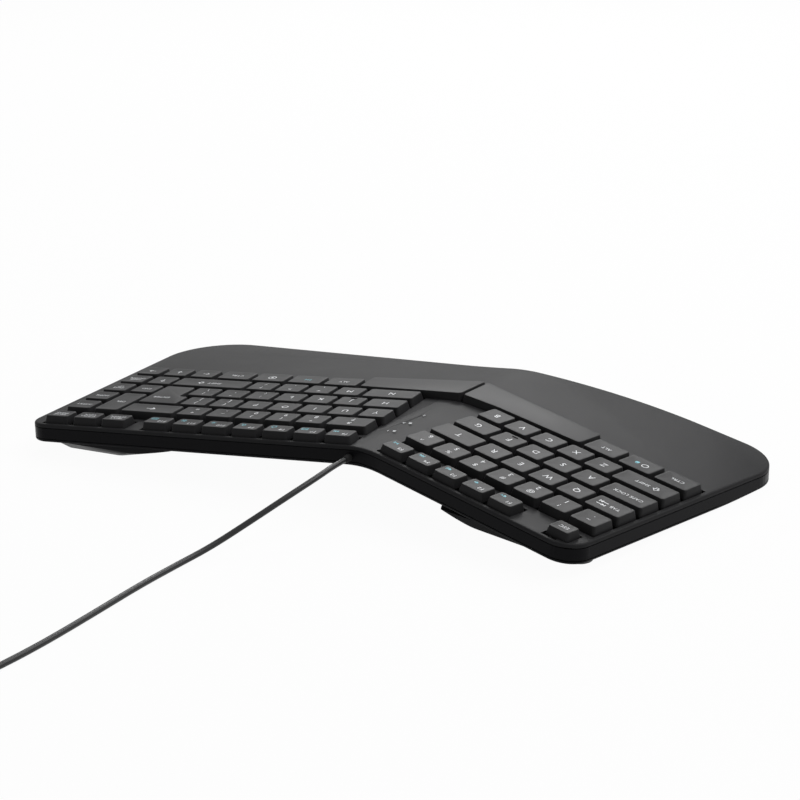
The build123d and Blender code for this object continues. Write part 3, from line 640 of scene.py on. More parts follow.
@dataclass
class CapShape:
    """Shape of a cap over the deck: sides that lean in, rounded corners and edges, a shallow dish."""

    top: float = 4.2
    foot: float = -0.8
    spread: float = 0.95
    wall: float = 1.2
    ceiling: float = 3.6
    corner: float = 1.9
    edge: float = 0.4
    dish: float = 0.24
    steps: int = 5
    edge_steps: int = 4
    dish_shares: tuple = (0.16, 0.34, 0.52, 0.7, 0.88)
    print_lift: float = 0.03
    hollow_lean: float = 0.3
    hollow_corner: float = 0.6
    mouth_corner: float = 0.8
    corner_loss: float = 0.4

    def dish_levels(self, half: float) -> tuple[np.ndarray, np.ndarray]:
        """Inset and height of the dish's rings.

        The dish sinks with the share s of the way from the top's edge to the cap's middle line, by the
        dish's depth times s (2 - s), which is level at the middle.

        Args:
            half: half the cap's lesser width.

        Returns:
            The insets from the outline, and the heights.
        """
        share = np.array((0.0, *self.dish_shares))
        inset = self.edge + share * (half - self.edge)
        return inset, self.top - self.dish * share * (2 - share)

    def rings(self, corners: np.ndarray, dished: bool) -> tuple[np.ndarray, int]:
        """Stacked outlines of the cap from its hollow's ceiling out round the foot and up to the top.

        The side leans in by spread over the cap's height. The edge is a quarter circle between the
        side and the top.

        Args:
            corners: corners of the top's outline, anticlockwise.
            dished: whether the top has a dish.

        Returns:
            The points, and how many make one ring.
        """
        lean = self.spread / (self.top - self.foot)
        bend = np.linspace(0, math.pi / 2, self.edge_steps + 1)
        height = self.top - self.edge * (1 - np.sin(bend))
        inset = -lean * (self.top - height) + self.edge * (1 - np.cos(bend))
        levels = [
            (self.wall + self.hollow_lean, self.ceiling, self.hollow_corner),
            (self.wall - self.spread, self.foot, self.mouth_corner),
            (-self.spread, self.foot, self.corner),
            *zip(inset, height, self.corner - self.corner_loss * np.sin(bend)),
        ]
        if dished:
            half = (corners.max(0) - corners.min(0)).min() / 2
            inset, height = self.dish_levels(half)
            corners_left = (self.corner - self.corner_loss) * (1 - np.array(self.dish_shares))
            levels += zip(inset[1:], height[1:], corners_left)
        outlines = []
        for inset, height, radius in levels:
            loop = rounded_loop(corners, inset, radius, self.steps)
            outlines.append(np.column_stack([loop, np.full(len(loop), height)]))
        return np.concatenate(outlines), len(outlines[0])

    def cap(self, corners: np.ndarray, dished: bool = True) -> tuple[np.ndarray, list]:
        """One closed cap.

        Args:
            corners: corners of the top's outline, anticlockwise.
            dished: whether the top has a dish.

        Returns:
            The points, and the faces.
        """
        points, count = self.rings(corners, dished)
        return points, closed_faces(len(points) // count, count)

    def printed(self, flat: np.ndarray, width: float, depth: float) -> np.ndarray:
        """Printing laid just over the dish.

        Each point's height is that of the dish at the same distance from the cap's outline.

        Args:
            flat: the printing's points in the plane.
            width: the cap's width.
            depth: the cap's depth.

        Returns:
            The points over the deck.
        """
        inset, height = self.dish_levels(min(width, depth) / 2)
        distance = (np.array([width, depth]) / 2 - np.abs(flat)).min(axis=1)
        return np.column_stack([flat, np.interp(distance, inset, height) + self.print_lift])


@dataclass
class HomingBar:
    """Small raised bar on the caps of the two forefingers."""

    length: float = 4.2
    width: float = 0.8
    height: float = 0.4
    below: float = 5.4
    rings: int = 13
    around: int = 12
    last_angle: float = 1.48

    def mesh(self) -> tuple[np.ndarray, list]:
        """Points and faces of the bar.

        Round its axis it is an ellipse half of which lies in the cap. The ellipse shrinks towards the
        ends by the square root of 1 - u^8, where u is the sine of an angle that changes evenly along
        the bar.

        Returns:
            The points from the cap's middle at the level of the dish, and the faces.
        """
        u = np.sin(np.linspace(-self.last_angle, self.last_angle, self.rings))[:, None]
        angle = np.linspace(0, 2 * math.pi, self.around, endpoint=False)[None, :]
        shrink = np.sqrt(1 - u**8)
        x = np.broadcast_to(self.length / 2 * u, (self.rings, self.around))
        y = self.width / 2 * shrink * np.cos(angle) - self.below
        z = self.height * shrink * np.sin(angle)
        points = np.stack([x, y, z], axis=-1).reshape(-1, 3)
        return points, closed_faces(self.rings, self.around)


@dataclass
class KeyField:
    """All the keys of both halves, gathered by the body they move with."""

    shape: CapShape = field(default_factory=CapShape)
    keys: list[Key] = field(default_factory=list)
    esc_size: tuple[float, float] = (12.4, 9.6)
    esc_start: tuple[float, float] = (-5.0, FUNCTION_ROW - 1.0)

    def __post_init__(self) -> None:
        """Lay out the rows as they are on the keyboard."""
        self.lay_left()
        self.lay_right()

    def row(self, half: Half, start: float, up: float, runs: Sequence, depth: float = CAP_DEPTH,
            gap: float = KEY_GAP) -> None:
        """Add one row of keys.

        Args:
            half: the half it lies on.
            start: left edge of its first cap.
            up: its place up the rows.
            runs: each a body, a cap width and the marks of each of its caps.
            depth: depth of its caps.
            gap: gap between two caps' tops.
        """
        edge = start
        for node, width, caps in runs:
            for marks in caps:
                self.keys.append(Key(node, half, edge + width / 2, up, width, depth, marks))
                edge += width + gap

    @staticmethod
    def letters(text: str) -> list[list[Mark]]:
        """Marks of a run of single letters."""
        return [[Mark(letter, *LETTER_MARK)] for letter in text]

    @staticmethod
    def pairs(text: str) -> list[list[Mark]]:
        """Marks of caps with two signs, written in pairs: the upper sign, then the lower one."""
        return [[Mark(upper, 0.0, 2.6, 3.3), Mark(lower, 0.0, -3.8, 3.3)] for upper, lower in text.split()]

    @staticmethod
    def words(*texts: str, height: float = WORD_HEIGHT) -> list[list[Mark]]:
        """Marks of caps that carry a word each."""
        return [[Mark(text, 0.0, 0.0, height)] for text in texts]

    @staticmethod
    def functions(first: int, last: int) -> list[list[Mark]]:
        """Marks of function keys: their name, and a small coloured sign for their second use.

        Args:
            first: number of the first key.
            last: number of the last key.

        Returns:
            The marks of each key.
        """
        signs = (
            Sign.MUTE, Sign.QUIETER, Sign.LOUDER, Sign.BACK, Sign.PLAY, Sign.NEXT, Sign.MAIL, Sign.HOME,
            Sign.SEARCH, Sign.DIMMER, Sign.BRIGHTER, Sign.SUMS,
        )
        return [
            [Mark(f"F{number}", -2.7, 1.4, 2.6), Mark(signs[number - 1], 3.9, -2.4, 3.4, Paint.TEAL)]
            for number in range(first, last + 1)
        ]

    def lay_left(self) -> None:
        """Rows of the left half."""
        start = -CAP_WIDTH / 2
        width, depth = self.esc_size
        self.row(LEFT, *self.esc_start, [("esc_key", width, self.words("ESC"))], depth)
        functions = [("function_keys_left", FUNCTION_WIDTH, self.functions(1, 5))]
        self.row(LEFT, 31.05, FUNCTION_ROW, functions, FUNCTION_DEPTH, FUNCTION_GAP)
        tab = [Mark("TAB", -3.2, 0.0, 2.4), Mark(Sign.TABS, 4.8, 0.0, 5.4)]
        shift = [Mark(Sign.HOLLOW_UP, -6.8, 0.0, 4.4), Mark("SHIFT", 2.0, 0.0, WORD_HEIGHT)]
        ring = [Mark(Sign.RING, -2.4, 0.0, 4.6), Mark(Sign.LOCK, 3.2, -0.2, 3.6, Paint.TEAL)]
        rows = [
            [("number_keys_left", CAP_WIDTH, self.pairs("~` !1 @2 #3 $4 %5 ^6"))],
            [
                ("tab_key", 22.2, [tab]),
                ("upper_letters_left", CAP_WIDTH, self.letters("QWER")),
                ("t_key", 28.4, self.letters("T")),
            ],
            [
                ("caps_lock_key", 28.0, self.words("CAPS LOCK")),
                ("home_letters_left", CAP_WIDTH, self.letters("ASDF")),
                ("g_key", 22.7, self.letters("G")),
            ],
            [("shift_key_left", 34.4, [shift]), ("lower_letters_left", CAP_WIDTH, self.letters("ZXCVB"))],
            [
                ("control_key_left", MODIFIER_WIDTH, self.words("CTRL")),
                ("system_key", MODIFIER_WIDTH, [ring]),
                ("alt_key_left", MODIFIER_WIDTH, self.words("ALT")),
            ],
        ]
        for index, runs in enumerate(rows):
            self.row(LEFT, start, -index * KEY_PITCH, runs)

    def lay_right(self) -> None:
        """Rows and columns of the right half."""
        functions = [("function_keys_right", FUNCTION_WIDTH, self.functions(6, 12))]
        words = self.words("PRINT\nSCREEN", "SCROLL\nLOCK", "PAUSE\nBREAK", height=2.0)
        prints = [("print_keys", FUNCTION_WIDTH, words)]
        self.row(RIGHT, -34.45, FUNCTION_ROW, functions, FUNCTION_DEPTH, FUNCTION_GAP)
        self.row(RIGHT, 107.05, FUNCTION_ROW, prints, FUNCTION_DEPTH, FUNCTION_GAP)
        shift = [Mark("SHIFT", -1.5, 0.0, WORD_HEIGHT), Mark(Sign.HOLLOW_UP, 7.5, 0.0, 4.4)]
        inner_edge = -37.05
        rows = [
            (-34.9, [
                ("seven_key", 23.85, self.pairs("&7")),
                ("number_keys_right", CAP_WIDTH, self.pairs("*8 (9 )0 _- +=")),
                ("backspace_key", 33.75, [[Mark(Sign.LEFT, 1.0, 0.0, 6.0)]]),
            ]),
            (inner_edge, [("upper_letters_right", CAP_WIDTH, self.letters("YUIOP") + self.pairs("{[ }]"))]),
            (inner_edge, [
                ("h_key", 21.9, self.letters("H")),
                ("home_letters_right", CAP_WIDTH, self.letters("JKL") + self.pairs(":; \"' |\\")),
            ]),
            (inner_edge, [
                ("n_key", 31.3, self.letters("N")),
                ("lower_letters_right", CAP_WIDTH, self.letters("M") + self.pairs("<, >. ?/")),
                ("shift_key_right", 47.45, [shift]),
            ]),
            (7.8, [
                ("alt_key_right", MODIFIER_WIDTH, self.words("ALT")),
                ("menu_key", MODIFIER_WIDTH, [[Mark("FN", 0.0, 0.0, WORD_HEIGHT, Paint.TEAL)]]),
                ("symbol_key", MODIFIER_WIDTH, [[Mark(Sign.DOTTED_RING, 0.0, 0.0, 5.6)]]),
                ("control_key_right", MODIFIER_WIDTH, self.words("CTRL")),
            ]),
        ]
        for index, (start, runs) in enumerate(rows):
            self.row(RIGHT, start, -index * KEY_PITCH, runs)
        delete = Mark("DEL", 0.0, 0.0, WORD_HEIGHT)
        tall = KEY_PITCH + CAP_DEPTH
        self.keys.append(Key("delete_key", RIGHT, INNER_COLUMN, -KEY_PITCH / 2, SIDE_WIDTH, tall, [delete]))
        column = [
            ("side_keys", OUTER_COLUMN, 0, "INSERT"),
            ("side_keys", OUTER_COLUMN, 1, "HOME"),
            ("side_keys", OUTER_COLUMN, 2, "PAGE\nUP"),
            ("side_keys", OUTER_COLUMN, 3, "PAGE\nDOWN"),
            ("end_key", INNER_COLUMN, 2, "END"),
            ("arrow_up_key", INNER_COLUMN, 3, Sign.UP),
            ("arrow_left_key", INNER_COLUMN - KEY_PITCH, 4, Sign.LEFT),
            ("arrow_down_key", INNER_COLUMN, 4, Sign.DOWN),
            ("arrow_right_key", OUTER_COLUMN, 4, Sign.RIGHT),
        ]
        for node, along, row, drawn in column:
            height = SIDE_SIGN_HEIGHT if isinstance(drawn, Sign) else SIDE_WORD_HEIGHT
            mark = Mark(drawn, 0.0, 0.0, height)
            self.keys.append(Key(node, RIGHT, along, -row * KEY_PITCH, SIDE_WIDTH, CAP_DEPTH, [mark]))

    def build(self) -> None:
        """Make each body's caps and their printing."""
        for node in dict.fromkeys(key.node for key in self.keys):
            keys = [key for key in self.keys if key.node == node]
            self.build_caps(node, keys)
            self.build_print(node, keys)
        for node, letter in (("home_letters_left", "F"), ("home_letters_right", "J")):
            self.build_bar(node, letter)

    def build_caps(self, node: str, keys: list[Key]) -> None:
        """Make the caps that move with one body, and hide their CAD node.

        Args:
            node: the body, which is also the node's name.
            keys: its keys.
        """
        caps = []
        for key in keys:
            local, faces = self.shape.cap(rectangle(key.width, key.depth))
            caps.append((key.place(local), faces))
        piece = add_piece(f"caps_{node}", *joined(caps), CAP.material())
        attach(piece, node)
        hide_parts(node)
        log.info("caps of %s: %d", node, len(keys))

    def build_print(self, node: str, keys: list[Key]) -> None:
        """Make the printing on the caps of one body, one piece for each colour.

        Args:
            node: the body.
            keys: its keys.
        """
        for paint in Paint:
            prints = []
            for key in keys:
                for mark in key.marks:
                    if mark.paint is paint:
                        flat, faces = mark.mesh()
                        local = self.shape.printed(flat, key.width, key.depth)
                        prints.append((key.place(local), faces))
            if prints:
                name = f"print_{paint.name.lower()}_{node}"
                piece = add_piece(name, *joined(prints), print_finish(paint))
                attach(piece, node)

    def build_bar(self, node: str, letter: str) -> None:
        """Set the homing bar on the cap of one letter.

        Args:
            node: the body that the letter moves with.
            letter: the letter.
        """
        key = next(key for key in self.keys if key.node == node and key.marks[0].drawn == letter)
        points, faces = HomingBar().mesh()
        points[:, 2] += self.shape.printed(points[:, :2], key.width, key.depth)[:, 2].mean()
        piece = add_piece(f"homing_bar_{letter.lower()}", key.place(points), faces, CAP.material())
        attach(piece, node)
        log.info("homing bar on %s", letter)


@dataclass
class SpaceBar:
    """One half of the space bar, from its outer end to the seam on the ridge."""

    half: Half
    outer: float
    bend: float
    side: int
    far_outer: float = -69.2
    far_bend: float = -67.6
    near_outer: float = -88.7
    far_seam: float = -87.5
    near_seam: float = -114.2
    seam: float = -1.5
    gap: float = 1.1

    def corners(self) -> np.ndarray:
        """Corners of the bar's top.

        Returns:
            The corners on its half, anticlockwise.
        """
        x = self.seam + self.side * self.gap / 2
        far_seam = self.half.on_deck(x, self.far_seam)
        near_seam = self.half.on_deck(x, self.near_seam)
        points = [
            (self.outer, self.far_outer), (self.bend, self.far_bend), tuple(far_seam), tuple(near_seam),
            (self.outer, self.near_outer),
        ]
        return np.array(points[::-1] if self.side < 0 else points)

    def build(self) -> None:
        """Make the bar and hide its CAD node."""
        shape = CapShape(corner=2.4)
        points, faces = shape.cap(self.corners(), dished=False)
        name = f"space_bar_{self.half.name}"
        limit = (self.seam + self.side * self.gap / 2 + DATUM[0]) * METRE
        placed = self.half.place(points)
        if self.side < 0:
            placed[:, 0] = np.minimum(placed[:, 0], limit)
        else:
            placed[:, 0] = np.maximum(placed[:, 0], limit)
        piece = add_piece(f"cap_{name}", placed, faces, CAP.material())
        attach(piece, name)
        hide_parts(name)
        log.info("space bar %s", self.half.name)


@dataclass
class EnterKey:
    """The two-step return key."""

    left: float = 95.95
    waist: float = 101.95
    right: float = 120.8
    word_height: float = 2.6
    word_row: float = -1.18

    def build(self) -> None:
        """Make the cap and its word, and hide its CAD node."""
        far = -KEY_PITCH + CAP_DEPTH / 2
        step = -KEY_PITCH - CAP_DEPTH / 2
        near = -2 * KEY_PITCH - CAP_DEPTH / 2
        corners = np.array([
            (self.left, far), (self.left, step), (self.waist, step), (self.waist, near), (self.right, near),
            (self.right, far),
        ])
        shape = CapShape(corner=2.0)
        points, faces = shape.cap(corners, dished=False)
        piece = add_piece("cap_enter", RIGHT.place(points), faces, CAP.material())
        flat, flat_faces = flat_text("ENTER", self.word_height)
        across = (self.waist + self.right) / 2
        middle = np.array([across, self.word_row * KEY_PITCH, shape.top + shape.print_lift])
        placed = RIGHT.place(np.column_stack([flat, np.zeros(len(flat))]) + middle)
        words = add_piece("print_enter", placed, flat_faces, print_finish(Paint.WHITE))
        for part in (piece, words):
            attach(part, "enter_key")
        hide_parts("enter_key")
        log.info("return key")


# Case


@dataclass
class CornerRim:
    """Rim and band at the left rear corner, carried on past the well of the nearest key.

    Distances count from the middle of the corner's arc, and heights from the deck's plane.
    """

    middle: tuple[float, float] = (-129.28, 15.16)
    radius: float = 14.5
    inner: float = 12.9
    rounding: float = 1.3
    well_left: float = -6.45
    well_far: float = 26.05
    proud: float = 0.03
    rim_foot: float = -1.9
    band_top: float = -2.5
    band_foot: float = -7.2
    first: float = 96.0
    last: float = 186.0
    steps: int = 30
    round_steps: int = 6
    least: float = 1e-3

    def inner_side(self, angle: np.ndarray) -> np.ndarray:
        """Distance of the inner side at each angle.

        It is the least of the inner radius and the distances to the two straight sides of the key's
        well, each of which is its place less the middle's over the cosine or sine of the angle.

        Args:
            angle: angles round the corner, in radians.

        Returns:
            The distances.
        """
        along, up = LEFT.on_deck(*self.middle)
        local = angle - math.radians(LEFT.turn)
        left = (self.well_left - along) / np.minimum(np.cos(local), -self.least)
        far = (self.well_far - up) / np.maximum(np.sin(local), self.least)
        return np.minimum(np.minimum(left, far), self.inner)

    def sections(self, profile: np.ndarray) -> np.ndarray:
        """A profile carried round the corner, clockwise.

        Args:
            profile: its points as distance and height. A distance of NaN is the inner side.

        Returns:
            One ring of points for each step.
        """
        angle = np.radians(np.linspace(self.last, self.first, self.steps + 1))[:, None]
        reach = np.where(np.isnan(profile[:, 0]), self.inner_side(angle), profile[:, 0])
        x = self.middle[0] + reach * np.cos(angle)
        y = self.middle[1] + reach * np.sin(angle)
        z = RIDGE_HEIGHT + LEFT.fall * x + DECK_RISE * y + profile[:, 1]
        return np.stack([x, y, z], axis=-1)

    def build(self) -> None:
        """Make the rim, whose outer edge is a quarter circle, and the piece of band under it."""
        bend = np.linspace(math.pi / 2, 0, self.round_steps + 1)
        start = self.radius - self.rounding + self.proud
        outer = self.radius + self.proud
        edge = np.column_stack([
            start + self.rounding * np.sin(bend), self.rounding * (np.cos(bend) - 1) + self.proud,
        ])
        rim = np.array([(np.nan, self.rim_foot), (outer, self.rim_foot), *edge, (np.nan, self.proud)])
        band = np.array([
            (np.nan, self.band_foot), (outer, self.band_foot),
            (outer, self.band_top), (np.nan, self.band_top),
        ])
        pieces = (("rim_corner", rim, DECK, "deck"), ("band_corner", band, BAND, "band"))
        for name, profile, finish, slot in pieces:
            piece = stacked(name, self.sections(profile), finish.material())
            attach(piece, CASE)
            log.info("%s", name)


@dataclass
class CaseShells:
    """Moulded shells of the case, smoothed from the CAD solids, and the finishes of the plates and sheets
    inside.
    """

    smooth: float = 28.0
    weld: float = 2e-6
    flat: float = 0.05

    def smoothed(self, node: str, finish: Plastic | Metal, slot: str) -> bpy.types.Object:
        """A welded copy of a CAD node with its flat and round faces shaded as such.

        Args:
            node: the CAD node.
            finish: its finish.
            slot: not used.

        Returns:
            The copy, which stands for the node.
        """
        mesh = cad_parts[node].data.copy()
        mesh.name = f"shell_{node}"
        shape = bmesh.new()
        shape.from_mesh(mesh)
        bmesh.ops.remove_doubles(shape, verts=shape.verts, dist=self.weld)
        limit = math.radians(self.flat)
        bmesh.ops.dissolve_limit(shape, angle_limit=limit, verts=shape.verts, edges=shape.edges)
        shape.to_mesh(mesh)
        shape.free()
        mesh.materials.clear()
        mesh.materials.append(finish.material())
        mesh.polygons.foreach_set("use_smooth", np.ones(len(mesh.polygons), bool))
        mesh.set_sharp_from_angle(angle=math.radians(self.smooth))
        piece = bpy.data.objects.new(f"shell_{node}", mesh)
        bpy.context.scene.collection.objects.link(piece)
        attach(piece, CASE)
        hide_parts(node)
        return piece

    def build(self) -> None:
        """Dress every fixed shell of the case."""
        shells = [
            ("top_cover", DECK, "deck"),
            ("side_band", BAND, "band"),
            ("bottom_cover", BASE, "base"),
            ("rubber_feet", RUBBER, "feet"),
            ("cable_grommet", RUBBER, "grommet"),
            ("indicator_lenses", DECK, "lenses"),
            ("cable_tie", INNER, "tie"),
        ]
        for node, finish, slot in shells:
            self.smoothed(node, finish, slot)
            log.info("shell %s", node)

    def dress_inside(self) -> None:
        """Give the hidden CAD nodes their own finishes."""
        finishes = {
            "key_frame": INNER, "dome_sheet": SILICONE, "membrane": FILM, "backing_plate": STEEL,
            "controller_board": BOARD,
        }
        for node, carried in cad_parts.items():
            for start, finish in finishes.items():
                if node.startswith(start):
                    carried.data.materials.clear()
                    carried.data.materials.append(finish.material())


@dataclass
class Indicators:
    """Three small printed signs over the light guides near the ridge."""

    places: tuple = ((0.8, -20.5, Sign.LOCK, "1"), (1.2, -36.4, Sign.LOCK, "A"), (0.8, -52.5, Sign.DOWN, ""))
    lift: float = 0.05
    apart: float = 1.9
    sign_size: float = 2.7
    letter_height: float = 2.2

    def build(self) -> None:
        """Print the signs on the deck."""
        prints = []
        for x, y, sign, letter in self.places:
            along, up = RIGHT.on_deck(x, y)
            marks = [Mark(sign, -self.apart if letter else 0.0, 0.0, self.sign_size)]
            if letter:
                marks.append(Mark(letter, self.apart, 0.0, self.letter_height))
            for mark in marks:
                flat, faces = mark.mesh()
                local = np.column_stack([flat + (along, up), np.full(len(flat), self.lift)])
                prints.append((RIGHT.place(local), faces))
        piece = add_piece("print_indicators", *joined(prints), print_finish(Paint.WHITE))
        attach(piece, CASE)
        log.info("indicator signs")


# Lead and plug


@dataclass
class Lead:
    """The USB lead: a free stretch over the desk, a tied coil out of view, and a tail to the plug."""

    diameter: float = 3.2
    coil_x: float = 50.844
    coil_y: float = 300.0
    coil_height: float = 2.7
    coil_middle: float = 5.67 * 3.2
    pitch: float = 4.3
    layer_halves: tuple = (6, 6, 6, 5)
    steps: int = 6
    plug_height: float = 3.9
    tail_start: float = 14.0
    tail_down: float = 34.0
    tail_end: float = 46.0
    free_stretch: tuple = (
        (5.8, 6.0, 27.5),
        (5.8, 21.0, 27.5),
        (5.6, 39.0, 25.6),
        (9.5, 60.0, 20.8),
        (17.4, 82.0, 12.6),
        (25.8, 103.0, 4.4),
        (29.8, 126.0, 1.6),
        (29.0, 154.0, 1.6),
        (26.0, 190.0, 1.6),
        (23.6, 228.0, 1.6),
        (24.2, 260.0, 1.7),
        (26.25, 281.0, 2.7),
    )

    def stations(self) -> np.ndarray:
        """Ends of the coil's half turns.

        Returns:
            The distance from the coil's middle and the height at each end.
        """
        step = self.pitch / 2
        reach = self.coil_middle + self.layer_halves[0] / 2 * step
        height = self.coil_height
        found = [(reach, height)]
        way = -1
        for layer, count in enumerate(self.layer_halves):
            if layer:
                height += self.pitch
                found.append((reach, height))
            for _ in range(count):
                reach += way * step
                found.append((reach, height))
            way = -way
        return np.array(found)

    def coil(self) -> np.ndarray:
        """Control points of the coil's turns.

        Reach and height change evenly from one station to the next while the angle runs through half a
        turn, clockwise from the coil's left side. The points lie outside the turn by the share that the
        spline, which averages three points in a row, then takes off.

        Returns:
            The points from the datum.
        """
        stations = self.stations()
        place = np.arange((len(stations) - 1) * self.steps + 1) / self.steps
        whole = np.arange(len(stations))
        reach = np.interp(place, whole, stations[:, 0])
        height = np.interp(place, whole, stations[:, 1])
        own, beside = 0.75, 0.25
        share = own + beside * math.cos(math.pi / self.steps)
        angle = math.pi - math.pi * place
        return np.column_stack([
            self.coil_x + reach / share * np.cos(angle), self.coil_y + reach / share * np.sin(angle), height,
        ])

    def route(self) -> np.ndarray:
        """All the lead's control points.

        Returns:
            The points from the datum, from the case to the plug.
        """
        end_reach, end_height = self.stations()[-1]
        x = self.coil_x - end_reach
        tail = np.array([
            (x, self.coil_y + self.tail_start, end_height),
            (x, self.coil_y + self.tail_down, self.plug_height),
            (x, self.coil_y + self.tail_end, self.plug_height),
        ])
        return np.concatenate([np.array(self.free_stretch), self.coil(), tail])

    def build(self) -> None:
        route = (self.route() + DATUM) * METRE
        curve = bpy.data.curves.new("usb_lead", "CURVE")
        curve.dimensions = "3D"
        spline = curve.splines.new("NURBS")
        spline.points.add(len(route) - 1)
        spline.points.foreach_set("co", np.column_stack([route, np.ones(len(route))]).ravel())
        spline.order_u = 3
        spline.use_endpoint_u = True
        spline.resolution_u = 6
        curve.bevel_depth = self.diameter / 2 * METRE
        curve.bevel_resolution = 4
        curve.use_fill_caps = True
        curve.materials.append(JACKET.material())
        piece = bpy.data.objects.new("usb_lead", curve)
        bpy.context.scene.collection.objects.link(piece)
        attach(piece, CASE)
        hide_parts("usb_cable", "usb_cable_coil")
        log.info("lead")


@dataclass
class Plug:
    """The USB plug on the lead's end, lying flat: strain relief, grip, metal shell and tongue.

    A section is its distance along the plug, its width, its thickness and its corners' rounding.
    """

    x: float = 28.397
    start: float = 346.0
    height: float = 3.9
    relief: float = 10.0
    ribs: int = 9
    rib_length: float = 0.9
    rib_size: tuple[float, float] = (4.4, 6.4)
    groove: float = 0.5
    rib_round: float = 0.45
    grip: tuple = (
        (10.0, 8.0, 5.2, 1.8), (10.6, 10.4, 6.6, 2.0), (12.2, 12.0, 7.6, 1.8), (14.0, 12.4, 7.8, 1.6),
        (32.2, 12.4, 7.8, 1.6), (32.8, 11.8, 7.2, 1.5), (33.0, 11.0, 6.4, 1.3),
    )
    shell: tuple = (
        (32.0, 12.0, 4.5, 0.7), (44.8, 12.0, 4.5, 0.7), (45.0, 11.7, 4.2, 0.6), (45.0, 11.3, 3.8, 0.5),
        (32.6, 11.3, 3.8, 0.5),
    )
    tongue: tuple = ((32.4, 10.4, 1.9, 0.2), (44.4, 10.4, 1.9, 0.2), (44.6, 10.0, 1.5, 0.2))
    drop: float = 0.85
    steps: int = 6

    def rings(self, sections: Sequence, lift: float = 0.0) -> list[np.ndarray]:
        """Rounded rectangles square to the plug's axis.

        Args:
            sections: the sections in order.
            lift: how far they lie over the axis.

        Returns:
            One ring of points for each section.
        """
        rings = []
        for distance, width, thick, corner in sections:
            flat = rounded_loop(rectangle(thick, width), 0.0, corner, self.steps)
            along = np.full(len(flat), self.start + distance)
            rings.append(np.column_stack([self.x + flat[:, 1], along, self.height + lift + flat[:, 0]]))
        return rings

    def relief_sections(self) -> list[tuple[float, float, float, float]]:
        """Sections of the strain relief, whose ribs grow and are thick and thin by turns.

        Returns:
            Two sections for each rib.
        """
        thin, thick = self.rib_size
        sections = []
        for rib in range(self.ribs):
            share = rib / self.ribs
            size = thin + (thick - thin) * share - self.groove * (rib % 2)
            for distance in (share * self.relief, share * self.relief + self.rib_length):
                sections.append((distance, size, size, size * self.rib_round))
        return sections

    def build(self) -> None:
        """Make the grip, the shell and the tongue, and hide the CAD nodes."""
        grip = self.rings([*self.relief_sections(), *self.grip])
        overmould = stacked("plug_overmould", grip, JACKET.material())
        shell = stacked("plug_shell", self.rings(self.shell), NICKEL.material())
        tongue = stacked("plug_tongue", self.rings(self.tongue, -self.drop), SILICONE.material())
        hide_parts("usb_plug_body")
        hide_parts("usb_plug_shell")
        for piece, slot in ((overmould, "plug_overmould"), (shell, "plug_shell"), (tongue, "plug_shell")):
            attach(piece, CASE)
        log.info("plug")


# Stage


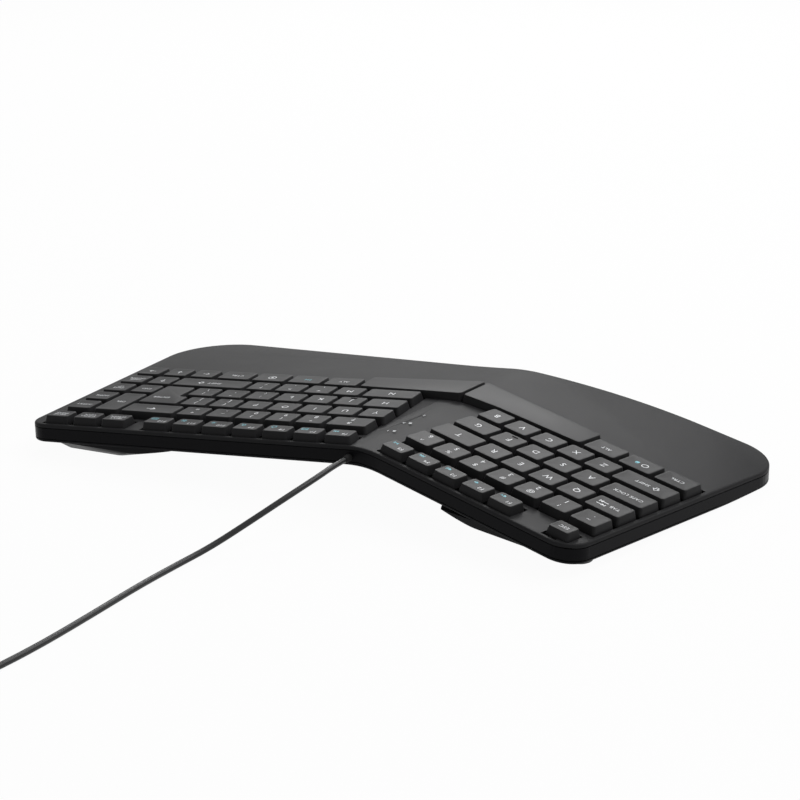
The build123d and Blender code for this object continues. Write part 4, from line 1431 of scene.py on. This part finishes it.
@dataclass
class Studio:
    """White table and background, soft lamps and the photograph's camera."""

    camera_place: tuple[float, float, float] = (-552.64, 763.59, 389.91)
    forward: tuple[float, float, float] = (0.5397363, -0.7733186, -0.3326607)
    right: tuple[float, float, float] = (-0.8218637, -0.5696079, -0.0093226)
    lens: float = 85.0
    sensor: float = 36.0
    floor_size: float = 12.0
    floor_white: float = 0.96
    floor_tone: float = 0.8
    floor_rough: float = 0.9
    room_light: float = 0.25
    lamps: tuple = (
        ("lamp_over", (-0.7, -0.7, 1.3), 1.2, 16.0),
        ("lamp_far", (0.9, -1.6, 1.25), 1.0, 20.0),
    )

    def build_camera(self) -> None:
        """Stand the camera where the photograph was taken from."""
        data = bpy.data.cameras.new("camera")
        data.lens = self.lens
        data.sensor_width = self.sensor
        data.clip_end = 100.0
        camera = bpy.data.objects.new("camera", data)
        back = -Vector(self.forward).normalized()
        right = Vector(self.right).normalized()
        up = back.cross(right).normalized()
        turn = Matrix((right, up, back)).transposed()
        place = Vector((np.array(self.camera_place) + DATUM) * METRE)
        camera.matrix_world = Matrix.Translation(place) @ turn.to_4x4()
        bpy.context.scene.collection.objects.link(camera)
        bpy.context.scene.camera = camera

    def build_floor(self) -> None:
        """Lay the white table, which keeps a soft shadow."""
        size = self.floor_size
        points = np.array([(-size, -size, 0), (size, -size, 0), (size, size, 0), (-size, size, 0)], float)
        material = bpy.data.materials.new("floor_white")
        material.use_nodes = True
        nodes, links = material.node_tree.nodes, material.node_tree.links
        shader = nodes["Principled BSDF"]
        shader.inputs["Base Color"].default_value = (self.floor_tone, self.floor_tone, self.floor_tone, 1)
        shader.inputs["Roughness"].default_value = self.floor_rough
        shader.inputs["Specular IOR Level"].default_value = 0.0
        white = nodes.new("ShaderNodeEmission")
        share = nodes.new("ShaderNodeMath")
        share.operation = "MULTIPLY"
        share.inputs[1].default_value = self.floor_white
        links.new(self.seen(nodes, links), share.inputs[0])
        mix = nodes.new("ShaderNodeMixShader")
        links.new(share.outputs[0], mix.inputs["Fac"])
        links.new(shader.outputs[0], mix.inputs[1])
        links.new(white.outputs[0], mix.inputs[2])
        links.new(mix.outputs[0], nodes["Material Output"].inputs["Surface"])
        floor = add_piece("floor", points, [(0, 1, 2, 3)], material)

    @staticmethod
    def seen(nodes: bpy.types.Nodes, links: bpy.types.NodeLinks) -> bpy.types.NodeSocket:
        """Share of the rays that see the white room: from the camera, from gloss and through glass.

        Args:
            nodes: the nodes to add to.
            links: the links to add to.

        Returns:
            The socket, which is 1 for such rays and 0 for light.
        """
        path = nodes.new("ShaderNodeLightPath")
        total = path.outputs["Is Camera Ray"]
        for ray in ("Is Glossy Ray", "Is Transmission Ray"):
            larger = nodes.new("ShaderNodeMath")
            larger.operation = "MAXIMUM"
            links.new(total, larger.inputs[0])
            links.new(path.outputs[ray], larger.inputs[1])
            total = larger.outputs[0]
        return total

    def build_room(self) -> None:
        """Light the room evenly, with a white wall all round."""
        world = bpy.data.worlds.new("room")
        bpy.context.scene.world = world
        world.use_nodes = True
        nodes, links = world.node_tree.nodes, world.node_tree.links
        light = nodes["Background"]
        light.inputs["Color"].default_value = (1, 1, 1, 1)
        light.inputs["Strength"].default_value = self.room_light
        white = nodes.new("ShaderNodeBackground")
        mix = nodes.new("ShaderNodeMixShader")
        links.new(self.seen(nodes, links), mix.inputs["Fac"])
        links.new(light.outputs[0], mix.inputs[1])
        links.new(white.outputs[0], mix.inputs[2])
        links.new(mix.outputs[0], nodes["World Output"].inputs["Surface"])

    def build_lamps(self) -> None:
        """Hang the square lamps, each of which looks at the keyboard's middle."""
        for name, place, size, power in self.lamps:
            data = bpy.data.lights.new(name, "AREA")
            data.size = size
            data.energy = power
            lamp = bpy.data.objects.new(name, data)
            lamp.location = place
            lamp.rotation_euler = Vector(place).to_track_quat("Z", "Y").to_euler()
            bpy.context.scene.collection.objects.link(lamp)

    def build(self) -> None:
        """Set up the camera, the table and the lamps."""
        self.build_camera()
        self.build_floor()
        self.build_room()
        self.build_lamps()
        bpy.context.scene.view_settings.view_transform = "Standard"


def main() -> None:
    """Build the keyboard's pieces in order, and the stage."""
    shells = CaseShells()
    shells.build()
    shells.dress_inside()
    CornerRim().build()
    Indicators().build()
    KeyField().build()
    SpaceBar(LEFT, outer=64.0, bend=122.0, side=-1).build()
    SpaceBar(RIGHT, outer=4.7, bend=-38.0, side=1).build()
    EnterKey().build()
    Plug().build()
    Lead().build()
    Studio().build()


if __name__ == "__main__":
    logging.basicConfig(level=logging.INFO)
    main()
